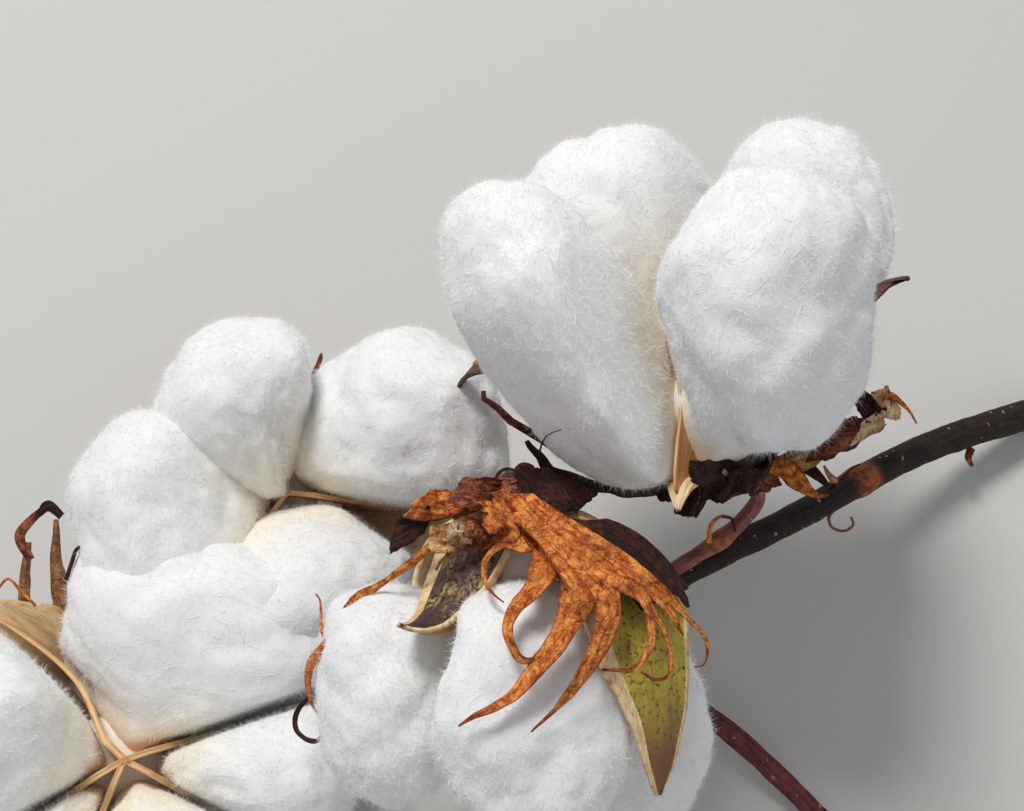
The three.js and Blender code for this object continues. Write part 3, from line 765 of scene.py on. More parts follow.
def meridian(start, drop, length, headings, t):
    """The path of a valve or bract in its own upright plane: its distance from the boll's axis, its height,
    and its heading from the axis."""
    middles = (np.arange(PATH_STEPS) + 0.5) / PATH_STEPS
    angle = np.radians(through(headings, middles))
    steps = np.linspace(0, 1, PATH_STEPS + 1)
    rho = start + np.append(0, np.cumsum(np.sin(angle))) * length / PATH_STEPS
    z = drop + np.append(0, np.cumsum(np.cos(angle))) * length / PATH_STEPS
    return np.interp(t, steps, rho), np.interp(t, steps, z), np.radians(through(headings, t))


# Lint.
def sphere(n):
    """Unit directions and quads of a cube with n by n faces on each side, blown up to a sphere."""
    steps = np.tan(np.linspace(-1, 1, n + 1) * math.pi / 4)
    a, b = np.meshgrid(steps, steps, indexing="ij")
    one = np.ones_like(a)
    sides = [(one, a, b), (-one, b, a), (b, one, a), (a, -one, b), (a, b, one), (b, a, -one)]
    points = np.concatenate([np.stack(side, axis=-1).reshape(-1, 3) for side in sides])
    quads = np.concatenate([grid_quads(n + 1, n + 1) + k * (n + 1) ** 2 for k in range(6)])
    _, first, same = np.unique(points.round(6), axis=0, return_index=True, return_inverse=True)
    return unit(points[first]), same.ravel()[quads]


class Lint:
    """One lock's surface, as a function of the direction q from its middle."""

    def __init__(self, boll, spec):
        self.boll, self.spec = boll, spec
        out, lean = spoke(spec["azimuth"]), math.radians(spec["lean"])
        length = out * math.sin(lean) + UP * math.cos(lean)
        depth = unit(out - length * (out @ length))
        self.axes = np.array([np.cross(length, depth), depth, length])
        self.centre = out * spec["reach"] + UP * spec["rise"]
        turns = sorted(((v["azimuth"] - spec["azimuth"]) % 360, n) for n, v in enumerate(boll["valves"]))
        (ahead, front), (behind, back) = turns[0], turns[-1]
        walls = [(behind - 360, -1, back), (ahead, 1, front)]
        self.walls = [(spec["azimuth"] + turn, side, boll["valves"][n]) for turn, side, n in walls]

    def over_septa(self, points):
        """How far points in the boll's frame are above the septa's top edges, in millimetres."""
        return points[..., 2] - SEPTUM_HEIGHT * (1 - from_axis(points) / SEPTUM_RUN)

    def gaps(self, points):
        """How far points in the boll's frame are from the nearer septum's plane."""
        return np.min([-(points @ across_spoke(azimuth)) * side for azimuth, side, _ in self.walls], axis=0)

    def local(self, q):
        spec, seed = self.spec, self.spec["seed"]
        full = (np.abs(q) ** LOCK_FULLNESS).sum(axis=-1, keepdims=True) ** (-1 / LOCK_FULLNESS)
        offset = (q * full * spec["half"] * (1 - FACET_SHARE)) @ self.axes
        points = self.centre + offset
        phase = points @ LUMP_WAVES[:, :3].T / LUMP_SIZE + LUMP_WAVES[:, 3] * seed
        offset = offset * (1 + LUMP_SHARE * np.sin(phase).mean(axis=-1, keepdims=True))
        puff = sum(high * tufts(points, wide, seed + more) for high, wide, more in BILLOWS)
        puff = puff + FLUFF_HIGH * noise(points, FLUFF_WIDE, seed + FLUFF_SEED)
        points = self.centre + offset + unit(offset) * puff[..., None]
        for azimuth, side, wall in self.walls:
            above = smooth((self.over_septa(points) + wall["deep"]) / PRESS_EASE)
            normal = across_spoke(azimuth) * side
            outer = smooth((from_axis(points) - SEAM_LEAVES) / (SEAM_LEFT - SEAM_LEAVES))
            leave = (wall["open"] - side * wall["drift"]) * (1 - wall["grow"] * (1 - outer))
            gap = leave - self.boll["close"]
            beyond = points @ normal + SEPTUM_THICK / 2 + CLEAR + above * gap
            press = PRESS + (PRESS_ABOVE - PRESS) * above
            kept = (beyond - np.sqrt(beyond**2 + press**2)) / 2
            points = points + (kept - beyond)[..., None] * normal
        return points

    def at(self, q):
        return placed(self.boll, self.local(q))

    def normal(self, q):
        """Roughly square to the surface, in the branch's frame."""
        steep = np.sign(q) * np.abs(q) ** (LOCK_FULLNESS - 1) / self.spec["half"]
        return unit(steep @ self.axes @ home(self.boll)[0].T)

    def shown(self, q):
        """Whether lint at q can be seen: not pressed on a septum, nor down in the boll's middle."""
        points = self.local(q)
        free = (self.gaps(points) > PRESSED) & (from_axis(points) > INNERMOST) & (points[:, 2] > LOWEST)
        return free | (self.over_septa(points) > CLEAR_ABOVE)

    def painted_glow(self, points):
        """How much painted glow, warm light as bounced in the depths between the locks, tints lint: most low
        on the septa.
        """
        low = fading(points[:, 2], PAINTED_GLOW_HEIGHTS)
        inner = fading(from_axis(points), PAINTED_GLOW_RADII)
        return PAINTED_GLOW_MOST * fading(self.gaps(points), PAINTED_GLOW_GAPS) * inner * low


# How many strands and hairs a lock has. Strands follow leaders, one tuft each. Their runs and widths are in
# millimetres, as is how deep their ends are sunk, and a hair leans by radians.
FIBRES, FIBRE_STEPS = 6000, 4
FIBRE_WIDTH, FIBRE_SUNK = 0.05, 0.05
FIBRE_RUNS = (2.0, 6.5)
LEADERS = 1500
TUFT_SPREAD = 0.09
SWIRL_SIZE = 12.0
LOCK_RADIUS = 20.0
HAIRS, HAIR_STEPS = 17000, 2
HAIR_WIDTH, HAIR_SUNK = 0.055, 0.1
HAIR_RUNS = (0.3, 2.4)
HAIR_LEANS = (0.3, 1.35)


def turned(vectors, axes, angles):
    """Vectors turned about unit axes that are square to them."""
    return vectors * np.cos(angles)[:, None] + np.cross(axes, vectors) * np.sin(angles)[:, None]


def lying_fibres(lint, rng):
    """Strands that follow the lock's surface in loose tufts, sunk in it at their ends."""
    leaders = unit(rng.normal(size=(LEADERS * 3, 3)))
    leaders = leaders[lint.shown(leaders)][:LEADERS]
    swirl = math.pi * noise(lint.local(leaders), SWIRL_SIZE, lint.spec["seed"] + 8)
    pick = rng.integers(len(leaders), size=FIBRES)
    q = unit(leaders[pick] + rng.normal(scale=TUFT_SPREAD, size=(FIBRES, 3)))
    ahead = unit(UP - q * q[:, 2:])
    ahead = turned(ahead, q, swirl[pick] * 1.5 + rng.normal(scale=0.9, size=FIBRES))
    bend = rng.normal(scale=0.8, size=FIBRES)
    stride = rng.uniform(*FIBRE_RUNS, FIBRES) / (FIBRE_STEPS - 1) / LOCK_RADIUS
    rise = rng.gamma(2.0, 0.07, FIBRES)
    paths, normals = [], []
    for step in range(FIBRE_STEPS):
        arch = math.sin(math.pi * step / (FIBRE_STEPS - 1))
        normal = lint.normal(q)
        paths.append(lint.at(q) + normal * (rise * arch - FIBRE_SUNK)[:, None])
        normals.append(normal)
        q = unit(q + ahead * stride[:, None])
        ahead = turned(unit(ahead - q * (q * ahead).sum(axis=1, keepdims=True)), q, bend)
    paths, normals = np.stack(paths, axis=1), np.stack(normals, axis=1)
    along = unit(np.gradient(paths, axis=1))
    roll = rng.uniform(-0.9, 0.9, FIBRES)[:, None, None]
    sideways = unit(np.cos(roll) * unit(np.cross(along, normals)) + np.sin(roll) * normals)
    return ribbons(paths, sideways, FIBRE_WIDTH * rng.uniform(0.6, 1.2, (FIBRES, 1)), True)


def standing_hairs(lint, rng):
    """Short hairs that stand off the lock and soften its outline."""
    q = unit(rng.normal(size=(HAIRS * 3, 3)))
    q = q[lint.shown(q)][:HAIRS]
    count = len(q)
    normal = lint.normal(q)
    side = unit(np.cross(normal, unit(rng.normal(size=(count, 3)))))
    lean = rng.uniform(*HAIR_LEANS, count)
    ahead = unit(normal * np.cos(lean)[:, None] + side * np.sin(lean)[:, None])
    axis = unit(np.cross(ahead, rng.normal(size=(count, 3))))
    bend = rng.normal(scale=0.7, size=count)
    stride = (rng.gamma(3.0, 0.38, count) / (HAIR_STEPS - 1)).clip(*HAIR_RUNS)[:, None]
    place, paths, alongs = lint.at(q) - normal * HAIR_SUNK, [], []
    for _ in range(HAIR_STEPS):
        paths.append(place)
        alongs.append(ahead)
        place = place + ahead * stride
        ahead = turned(ahead, axis, bend)
    paths, alongs = np.stack(paths, axis=1), np.stack(alongs, axis=1)
    sideways = unit(np.cross(alongs, np.stack([axis] * HAIR_STEPS, axis=1) + 0.01))
    return ribbons(paths, sideways, HAIR_WIDTH, False)


# A low mound of lint fills each boll's middle, round its septa, its colour tinted with painted glow of warm
# bounced light.
HEART_MIDDLE = 10.0
HEART_HALF = np.array([11.0, 11.0, 11.0])

DIRECTIONS, LOCK_QUADS = sphere(LOCK_CELLS)
surfaces = {where: [] for where in BOLLS}
for where, boll in BOLLS.items():
    strands, hairs = Form(), Form()
    for name, spec in boll["locks"].items():
        lint = Lint(boll, spec)
        local = lint.local(DIRECTIONS)
        points = placed(boll, local)
        form = Form()
        # The lint's shade attribute carries painted glow: warm bounced light painted into its colour.
        form.add(points, outward(points, LOCK_QUADS), "lint", lint.painted_glow(local))
        form.build(f"{where}_{name}_lint", "lint", [f"{where}_lock_{name}"])
        surfaces[where].append((points, LOCK_QUADS))
        rng = np.random.default_rng(spec["seed"])
        strands.add(*lying_fibres(lint, rng), "lint_fibre")
        hairs.add(*standing_hairs(lint, rng), "lint_fibre")
    heart = HEART_MIDDLE * UP + crumple(DIRECTIONS, 0.7, 0.08, 3) * HEART_HALF
    form = Form()
    # The mound's shade of 0.45 is painted glow: warm bounced light painted into its colour.
    form.add(placed(boll, heart), outward(heart, LOCK_QUADS), "lint", 0.45)
    form.build(f"{where}_heart_lint", "lint")
    strands.build(f"{where}_strands", "lint")
    hairs.build(f"{where}_hairs", "lint")


# Burs: a cup, and for each wall a valve with a septum on its midline.
def valve_shape(t):
    arch = math.pi * (VALVE_ARCH_START + (1 - VALVE_ARCH_START) * t) ** VALVE_LEAN
    return VALVE_END_WIDTH + (1 - VALVE_END_WIDTH) * np.sin(arch) ** VALVE_FULLNESS


def valve_line(spec, t, inner=()):
    """A valve's middle at each t: its distances from the boll's axis, its points, and the directions across
    it and square to it. inner are distances that take the place of the first ones."""
    rho, z, heading = meridian(VALVE_START, 0, spec["length"], spec["headings"], t)
    rho[: len(inner)] = inner
    out, across = spoke(spec["azimuth"]), across_spoke(spec["azimuth"])
    foot = rho[:, None] * out + z[:, None] * UP + spec["bow"] * np.sin(math.pi * t)[:, None] * across
    return rho, foot, across, -np.cos(heading)[:, None] * out + np.sin(heading)[:, None] * UP


def add_valve(form, boll, spec):
    t = np.linspace(0, 1, VALVE_ROWS)
    v = np.linspace(-1, 1, VALVE_COLUMNS)
    _, foot, across, normal = valve_line(spec, t)
    half = VALVE_HALF_WIDTH * spec["width"] * valve_shape(t)[:, None]
    half = half * (1 - spec["waist"] * (1 - smooth(t / 0.5)))[:, None]
    edge = np.abs(v)[None]
    lift = half * (VALVE_CUP * edge**1.6 - RIM_TURNS * smooth((edge - 0.72) / 0.28))
    grid = foot[:, None] + (half * v)[..., None] * across + lift[..., None] * normal[:, None]
    whole = np.ones_like(half)
    grid = crumple(grid, VALVE_WAVE, VALVE_WAVE_HIGH * edge * whole, spec["azimuth"] / 10)
    grid = crumple(grid, RIM_WAVE, RIM_WAVE_HIGH * smooth((edge - 0.6) / 0.4) * whole, 4)
    thick = (VALVE_THICK - VALVE_THINS * t[:, None]) * (1 - 0.3 * edge**2)
    thick = thick + RIM_THICKER * smooth((edge - 0.82) / 0.14)
    points, quads, side = shell(grid, thick)
    column = (quads[:, :2].min(axis=1) % VALVE_COLUMNS) / (VALVE_COLUMNS - 2)
    rim = (np.abs(2 * column - 1) > VALVE_RIM) | (side == 2)
    inside, edges, outside = spec["looks"]
    looks = np.where(rim, edges, np.where(side == 0, inside, outside))
    low = np.tile(np.repeat(1 - t, VALVE_COLUMNS), 2)
    form.add(placed(boll, points), quads, looks, 0.7 * low, grain_of(grid, spec["azimuth"]))
    return placed(boll, points), quads


# One side of a septum's section, from its foot to its groove: half its width and how far below its top edge.
SEPTUM_SIDE = [
    (0.55, 9.0), (0.40, 5.0), (0.38, 2.6), (0.55, 1.5), (0.84, 0.8), (0.80, 0.15), (0.50, 0.0), (0.16, 0.45),
]


# Where its rows are from the boll's axis to the valve's foot.
SEPTUM_INNER = [-0.5, 0.8, 2.2, 3.6]


def add_septum(form, boll, spec):
    """A thin fin with two soft lips and a groove between them along its top edge."""
    t = np.concatenate([np.zeros(len(SEPTUM_INNER) + 1), np.linspace(0, SEPTUM_REACH, SEPTUM_ROWS)[1:]])
    rho, foot, across, normal = valve_line(spec, t, SEPTUM_INNER)
    stand = unit(UP * (1 - t)[:, None] + normal * t[:, None])
    rise = SEPTUM_LOWEST + SEPTUM_HEIGHT * (1 - t / SEPTUM_REACH) ** SEPTUM_FALL
    rise = rise + SEPTUM_WAVE_HIGH * noise(foot, SEPTUM_WAVE, spec["azimuth"]) * (rise > 4)
    sides = SEPTUM_SIDE + [(-w, drop) for w, drop in SEPTUM_SIDE[::-1]]
    lips = spec["lip"] * (1 - LIPS_NARROW * t / SEPTUM_REACH)[:, None]
    rings = []
    for width, drop in sides:
        height = np.where(drop < 9, np.maximum(rise - drop, 0.2 * rise), 0.0)[:, None]
        rings.append(foot + across * width * lips + stand * height)
    rings = np.stack(rings, axis=1)
    shade = [1.0 if drop == 0.45 else 0.25 if drop < 0.2 else 0.0 for _, drop in sides]
    points, quads, ends = loft(rings)
    height = np.tile([drop for _, drop in sides], len(rings))
    grain = np.stack([height, np.repeat(rho, len(sides)), np.full(len(height), spec["azimuth"])], axis=-1)
    grain = np.concatenate([grain, np.zeros((2, 3))])
    shade = np.append(np.tile(shade, len(rings)), [0, 0])
    form.add(placed(boll, points), (quads, ends), "septum", shade, grain)


# The cup's section, as heights and radii.
CUP = [(-6.3, 2.6), (-4.4, 3.3), (-2.6, 5.0), (-0.8, 7.4), (1.2, 8.3), (3.2, 7.6), (4.8, 5.4), (5.4, 2.0)]
CUP_SIDES = 44


def add_cup(form, boll):
    rings = np.array([[[r * math.cos(a), r * math.sin(a), z] for a in circle(CUP_SIDES)] for z, r in CUP])
    rings = crumple(rings, 3.0, 0.35, 7)
    points, quads, ends = loft(rings)
    form.add(placed(boll, points), (quads, ends), boll["foot"][0], 0.5)
    return placed(boll, points), quads


CALYX_ROWS, CALYX_COLUMNS = 9, 81
CALYX_INNER, CALYX_SPREAD = 3.0, 6.8
CALYX_FOOT, CALYX_HIGH = -5.6, 8.0
CALYX_LOBES, LOBE_SHARE = 5, 0.35
CALYX_THICK = 0.35


def add_calyx(form, boll, seed):
    """The dry five-lobed collar that the cup sits in."""
    t, turn = np.linspace(0, 1, CALYX_ROWS), np.linspace(0, 2 * math.pi, CALYX_COLUMNS)
    t, turn = np.meshgrid(t, turn, indexing="ij")
    lobes = 1 + LOBE_SHARE * np.cos(CALYX_LOBES * turn + seed) * t**2
    rho = CALYX_INNER + CALYX_SPREAD * np.sin(t * 1.45)
    z = CALYX_FOOT + CALYX_HIGH * t**1.5 * lobes
    grid = np.stack([rho * np.cos(turn), rho * np.sin(turn), z], axis=-1)
    grid = crumple(grid, 3.5, 0.7 * t, seed)
    points, quads, _ = shell(grid, CALYX_THICK)
    shade = np.tile((t**3).ravel() * 0.5, 2)
    form.add(placed(boll, points), quads, boll["foot"][1], shade)
    return placed(boll, points), quads


for n, (where, boll) in enumerate(BOLLS.items()):
    form = Form()
    surfaces[where].append(add_cup(form, boll))
    surfaces[where].append(add_calyx(form, boll, 40 + n))
    for spec in boll["valves"]:
        surfaces[where].append(add_valve(form, boll, spec))
        add_septum(form, boll, spec)
    form.build(f"{where}_husk", "bur", [f"{where}_bur"])


# What the bracts are draped over, boll by boll.
trees = {}
for where, parts in surfaces.items():
    starts = np.append(0, np.cumsum([len(points) for points, _ in parts]))
    quads = np.concatenate([quads + start for (_, quads), start in zip(parts, starts)])
    points = np.concatenate([points for points, _ in parts])
    trees[where] = BVHTree.FromPolygons(points.tolist(), quads.tolist())


def at_pixel(u, v, z):
    """The point of the branch's frame at height z that the photograph shows at pixel (u, v)."""
    scale = (EYE - z) / FOCAL_PIXELS
    return np.array([(u - IMAGE_WIDTH / 2) * scale, (IMAGE_HEIGHT / 2 - v) * scale, z])


DRAPE_STEPS = 48
DRAPE_STIFF = 9


def draped(where, line, lift, reach):
    """The points that the photograph shows along a line of pixels, over whatever of the boll lies there, and
    which of them is at each pixel. A pixel with a third number is at that height. lift is how far the line's
    start, middle and end are above what they lie on, and reach is how wide it is, in pixels."""
    eye = Vector((0, 0, EYE))
    pixels = np.array([(*pixel[:2], 0) for pixel in line], float)
    given = np.array([pixel[2] if len(pixel) == 3 else np.nan for pixel in line])
    fine = spline(pixels, DRAPE_STEPS)[:, :2]
    away = np.linalg.norm(fine[:, None] - pixels[None, :, :2], axis=2)
    places, nearest = away.argmin(axis=0), away.argmin(axis=1)
    across = unit(np.gradient(fine, axis=0))[:, ::-1] * (1, -1) * reach / 2
    heights = np.full(DRAPE_STEPS, np.nan)
    for step in np.flatnonzero(np.isnan(given[nearest])):
        rays = [Vector(at_pixel(*(fine[step] + side * across[step]), 0.0)) - eye for side in (-1, 0, 1)]
        hits = [trees[where].ray_cast(eye, ray)[0] for ray in rays]
        found = [hit.z for hit in hits if hit is not None]
        if found:
            heights[step] = max(found) + through(lift, step / (DRAPE_STEPS - 1))
    heights[places] = np.where(np.isnan(given), heights[places], given)
    known = np.flatnonzero(~np.isnan(heights))
    heights = np.interp(np.arange(DRAPE_STEPS), known, heights[known])
    heights = np.pad(heights, DRAPE_STIFF - 1, mode="edge")
    highest = np.max([heights[k : DRAPE_STEPS + DRAPE_STIFF - 1 + k] for k in range(DRAPE_STIFF)], axis=0)
    even = np.mean([highest[k : DRAPE_STEPS + k] for k in range(DRAPE_STIFF)], axis=0)
    return np.array([at_pixel(*pixel, z) for pixel, z in zip(fine, even)]), places


# Bracts: each is a leaf of strips that share their borders from its foot as far as the notches, and go on
# from there as teeth. The lines of their middles follow the solids' rule or, where the photograph shows them,
# its pixels.
RULED_STEPS = 6
RULED_FOOT_POINTS, RULED_NOTCH = 5, 3


def ruled_teeth(boll, spec):
    """The middle of each tooth from the leaf's foot to its tip, by the solids' rule, and its notch's place on
    it."""
    sector = BRACT_SPREAD / TEETH
    for k, (length, curl, sweep) in enumerate(spec["teeth"]):
        middle = spec["azimuth"] - BRACT_SPREAD / 2 + sector * (k + 0.5)
        t = np.linspace(0, TOOTH_ROOT, RULED_FOOT_POINTS)
        rho, z, heading = meridian(BRACT_START, BRACT_DROP, BRACT_BODY, BRACT_HEADINGS, t)
        out, across = spoke(middle), across_spoke(middle)
        line = list(rho[:, None] * out + z[:, None] * UP)
        along = out * math.sin(heading[-1]) + UP * math.cos(heading[-1])
        stride = (length + BRACT_BODY * (1 - TOOTH_ROOT)) / RULED_STEPS
        for s in range(1, RULED_STEPS + 1):
            share = CURL_START + (CURL_END - CURL_START) * s / RULED_STEPS
            curled = math.radians(-curl * share / RULED_STEPS)
            turn = Matrix.Rotation(curled, 3, Vector(across))
            normal = np.cross(along, across)
            turn = np.array(Matrix.Rotation(math.radians(sweep / RULED_STEPS), 3, Vector(normal)) @ turn)
            along, across = turn @ along, turn @ across
            line.append(line[-1] + along * stride)
        yield RULED_NOTCH, placed(boll, np.array(line)), None


def carried(along, side):
    """side carried along a path, square to it, without turning about it."""
    sides = []
    for direction in along:
        side = unit(side - direction * (side @ direction))
        sides.append(side)
    return np.array(sides)


def blade(centres, half, side, twist, channel):
    """A grid of points across a path: half is its half width at each point, and channel how deep it is
    cupped."""
    along = unit(np.gradient(centres, axis=0))
    sides = carried(along, side)
    normals = np.cross(along, sides)
    angle = np.radians(twist) * smooth(np.linspace(0, 1, len(centres)))[:, None]
    across = sides * np.cos(angle) + normals * np.sin(angle)
    normals = normals * np.cos(angle) - sides * np.sin(angle)
    v = np.linspace(-1, 1, TOOTH_COLUMNS)
    lift = channel * half[:, None] * np.abs(v) ** 1.3
    flat = centres[:, None] + (half[:, None] * v)[..., None] * across[:, None]
    return flat + lift[..., None] * normals[:, None]


# In millimetres: how wide and high a dry leaf's waves are, with what is added to its seed, how wide and long
# its folds are and how high, how high its ribs, and how thick it is.
SHEET_WAVES = [(6.0, 0.8, 0), (2.3, 0.26, 5)]
FOLD_SIZE, FOLD_HIGH = np.array([1.1, 9.0, 1.0]), 0.16
RIB_HIGH = 0.4
LEAF_THICK = 0.26


def add_sheet(form, grid, look, seed, loose, thick, crumpled=1.0):
    """A grid of points as a thin dry sheet, crumpled as far as loose says for each row, dark at edges and
    tip."""
    rows, columns, _ = grid.shape
    loose = np.broadcast_to(loose, (rows,))[:, None] * np.ones(columns) * crumpled
    for wide, high, more in SHEET_WAVES:
        grid = crumple(grid, wide, high * loose, seed + more)
    grain = grain_of(grid, seed)[: rows * columns].reshape(grid.shape)
    folds = FOLD_HIGH * (1 - 3 * np.abs(noise(grain / FOLD_SIZE, 1.0, seed + 9))) * np.minimum(1, 3 * loose)
    grid = grid + folds[..., None] * normals_of(grid)
    edge = np.abs(np.linspace(-1, 1, columns))
    run = np.linspace(0, 1, rows)[:, None]
    shade = 0.7 * smooth((edge - 0.75) / 0.25) * smooth(run * 3) + 0.9 * smooth((run - 0.72) / 0.28)
    points, quads, _ = shell(grid, (thick - 0.35 * thick * run) * (1 + 0.5 * (1 - edge) ** 4))
    form.add(points, quads, look, np.tile(np.clip(shade, 0, 1).ravel(), 2), grain_of(grid, seed))


def add_leaf(form, teeth, look, seed, twists, away, crumpled=1.0):
    """A leaf whose teeth are (notch, line, widths): line[notch] is where the tooth leaves its neighbours, and
    widths are its widths at equal steps from there to its tip. Its ribs stand towards the side that looks
    away from the point away."""
    bodies, lines = [], []
    for notch, line, _ in teeth:
        fine = spline(line, 400)
        split = 1 + int(np.argmin(np.linalg.norm(fine[1:-1] - line[notch], axis=1)))
        bodies.append(spline(fine[: split + 1 : max(1, split // 12)], BODY_ROWS))
        lines.append(spline(fine[split::5], TOOTH_ROWS))
    bodies = np.array(bodies)
    borders = (bodies[1:] + bodies[:-1]) / 2
    left, right = 2 * bodies[0] - borders[0], 2 * bodies[-1] - borders[-1]
    borders = np.concatenate([left[None], borders, right[None]])
    share = (np.linspace(-1, 1, TOOTH_COLUMNS) + 1)[:, None] / 2
    for k, (centres, line) in enumerate(zip(bodies, lines)):
        rows = [through(three, share) for three in zip(borders[k], centres, borders[k + 1])]
        body = np.array(rows)
        line = line + (body[-1].mean(axis=0) - line[0]) * (1 - smooth(np.linspace(0, 3, TOOTH_ROWS)))[:, None]
        across = borders[k + 1] - borders[k]
        rib = unit(np.cross(np.gradient(centres, axis=0), across))
        rib = rib * np.sign(((centres - away) * rib).sum(axis=1, keepdims=True))
        ridge = RIB_HIGH * smooth(np.linspace(0, 1.5, BODY_ROWS))[:, None]
        ridge = ridge * (1 - np.abs(2 * share[:, 0] - 1)) ** 1.2
        body = body + ridge[..., None] * rib[:, None]
        steps = np.linspace(0, 1, TOOTH_ROWS)
        half = np.linalg.norm(across[-1]) / 2 * (1 - 0.985 * steps) ** 0.8
        fade = 1 - smooth(3.5 * steps)
        if teeth[k][2] is not None:
            own = np.interp(steps, np.linspace(0, 1, len(teeth[k][2])), teeth[k][2]) / 2
            fade = 1 - smooth(6 * steps)
            half = own + (half - own) * fade
        tooth = blade(line, half, across[-1], twists[k % len(twists)], 0.06)
        tooth = tooth + (body[-1] - tooth[0]) * fade[:, None, None]
        grid = np.concatenate([body[:-1], tooth])
        loose = smooth(np.linspace(0, 2.5, len(grid)))
        add_sheet(form, grid, look, seed, loose, LEAF_THICK, crumpled)


STRIP_LIFT = (0.6, 1.0, 0.6)
STRIP_ROWS = 34
STRIP_CUPPED = 0.35


def add_strip(form, where, look, widths, line, seed):
    """A single curling strip along a line of pixels, with its widths in pixels at equal steps of its
    length."""
    points = spline(draped(where, line, STRIP_LIFT, max(widths))[0], STRIP_ROWS)
    width = np.interp(np.linspace(0, 1, len(points)), np.linspace(0, 1, len(widths)), widths)
    half = width * (EYE - points[:, 2]) / FOCAL_PIXELS / 2
    side = np.cross(points[1] - points[0], UP)
    thick = min(0.3, 0.1 + 0.6 * half.max() / 2)
    crumpled = min(1, half.max() / 2)
    grid = blade(points, half, side, 0, STRIP_CUPPED)
    add_sheet(form, grid, look, seed, 0.5, thick, crumpled)


SCRAP_CELLS = 31
SCRAP_FOLDS = 7
SCRAP_SLOPE = 0.34
SCRAP_ROUND = 0.22
SCRAP_THICK = 0.2

# How deep and wide its edge is torn, as shares of its size.
SCRAP_TEARS = [(0.16, 0.6), (0.10, 0.2)]


def add_scrap(form, look, corners, seed):
    """A torn scrap of dry leaf between four points, each a pixel and a height, creased along straight
    folds."""
    a, b, c, d = [at_pixel(*corner) for corner in corners]
    x, y = np.meshgrid(np.linspace(-1, 1, SCRAP_CELLS), np.linspace(-1, 1, SCRAP_CELLS), indexing="ij")
    turn = np.arctan2(y, x)
    ring = np.stack([np.cos(turn), np.sin(turn), 0 * turn + seed], axis=2)
    torn = sum((deep * noise(ring, wide, seed) for deep, wide in SCRAP_TEARS), 1)
    s = (x * np.sqrt(1 - SCRAP_ROUND * y**2) * torn + 1)[..., None] / 2
    t = (y * np.sqrt(1 - SCRAP_ROUND * x**2) * torn + 1)[..., None] / 2
    grid = (1 - s) * (1 - t) * a + (1 - s) * t * b + s * t * c + s * (1 - t) * d
    flat = (grid - grid.mean(axis=(0, 1)))[..., :2]
    rng = np.random.default_rng(seed)
    height = np.zeros(x.shape)
    for fold in range(SCRAP_FOLDS):
        angle = rng.uniform(0, math.pi)
        place = flat @ [math.cos(angle), math.sin(angle)]
        height += (-1) ** fold * SCRAP_SLOPE * np.abs(place - rng.uniform(-0.6, 0.6) * np.abs(place).max())
    grid = grid + (height - height.mean())[..., None] * UP
    add_sheet(form, grid, look, seed, 0.35, SCRAP_THICK)


# The front boll's fan, from its right edge to its left. In each line the photograph shows the middle of one
# tooth, from the leaf's foot; the first number tells which of the points is at the notch, and the last
# numbers are the tooth's widths from there.
FAN = [
    (4, [(531, 494), (552, 510), (590, 534), (630, 562), (664, 592), (684, 615), (701, 632), (708, 648),
         (704, 664), (691, 668)], (10, 7, 5, 4, 3, 1.5)),
    (4, [(526, 494), (548, 513), (583, 538), (622, 567), (655, 594), (670, 614), (683, 637)], (12, 9, 6, 2)),
    (4, [(521, 494), (543, 516), (575, 542), (608, 568), (642, 592), (660, 622), (670, 652), (670, 676),
         (655, 680), (641, 671)], (13, 8, 6, 5, 4, 2)),
    (4, [(515, 494), (538, 519), (567, 547), (597, 570), (632, 584), (648, 604), (651, 626), (648, 650),
         (630, 670), (602, 669)], (17, 12, 11, 9, 7, 5, 2)),
    (4, [(508, 494), (534, 522), (562, 550), (590, 577), (613, 605), (605, 634), (591, 664), (565, 697),
         (532, 735)], (33, 25, 18, 11, 5, 1.5)),
    (4, [(500, 495), (525, 523), (547, 550), (564, 574), (579, 600), (562, 632), (539, 663), (507, 697),
         (455, 727)], (31, 28, 23, 17, 11, 6, 2)),
    (3, [(491, 497), (512, 519), (533, 540), (545, 566), (533, 589), (516, 606), (507, 626), (513, 650),
         (527, 661), (546, 651)], (34, 30, 20, 13, 9, 6, 2)),
    (3, [(482, 501), (496, 516), (510, 530), (520, 542), (504, 545), (490, 554), (484, 570), (490, 588),
         (505, 604)], (20, 8, 6, 5, 4, 3, 1.5)),
]

# The dark leaf beside the fan, from its right edge to its left.
DARK = [
    (5, [(545, 503, 9), (574, 523), (603, 524), (636, 541), (662, 565), (681, 592), (689, 607)], (14, 10, 3)),
    (5, [(540, 507, 9), (568, 530), (594, 534), (624, 552), (648, 574), (665, 599), (671, 612)], (12, 8, 3)),
    (5, [(535, 511, 9), (562, 537), (586, 545), (612, 563), (634, 585), (649, 606), (653, 618)], (10, 6, 3)),
]

# Leaves whose lines the photograph shows: their teeth, look, how far they are lifted, and their teeth's
# twists.
LEAVES = {
    ("front", "fan"): (FAN, "bract", (3.2, 4.2, 1.3), (25, 12, 28, 22, 10, -8, -20, -30)),
    ("front", "dark"): (DARK, "bract_dark", (1.2, 1.4, 1.0), (30, 20, 10)),
}
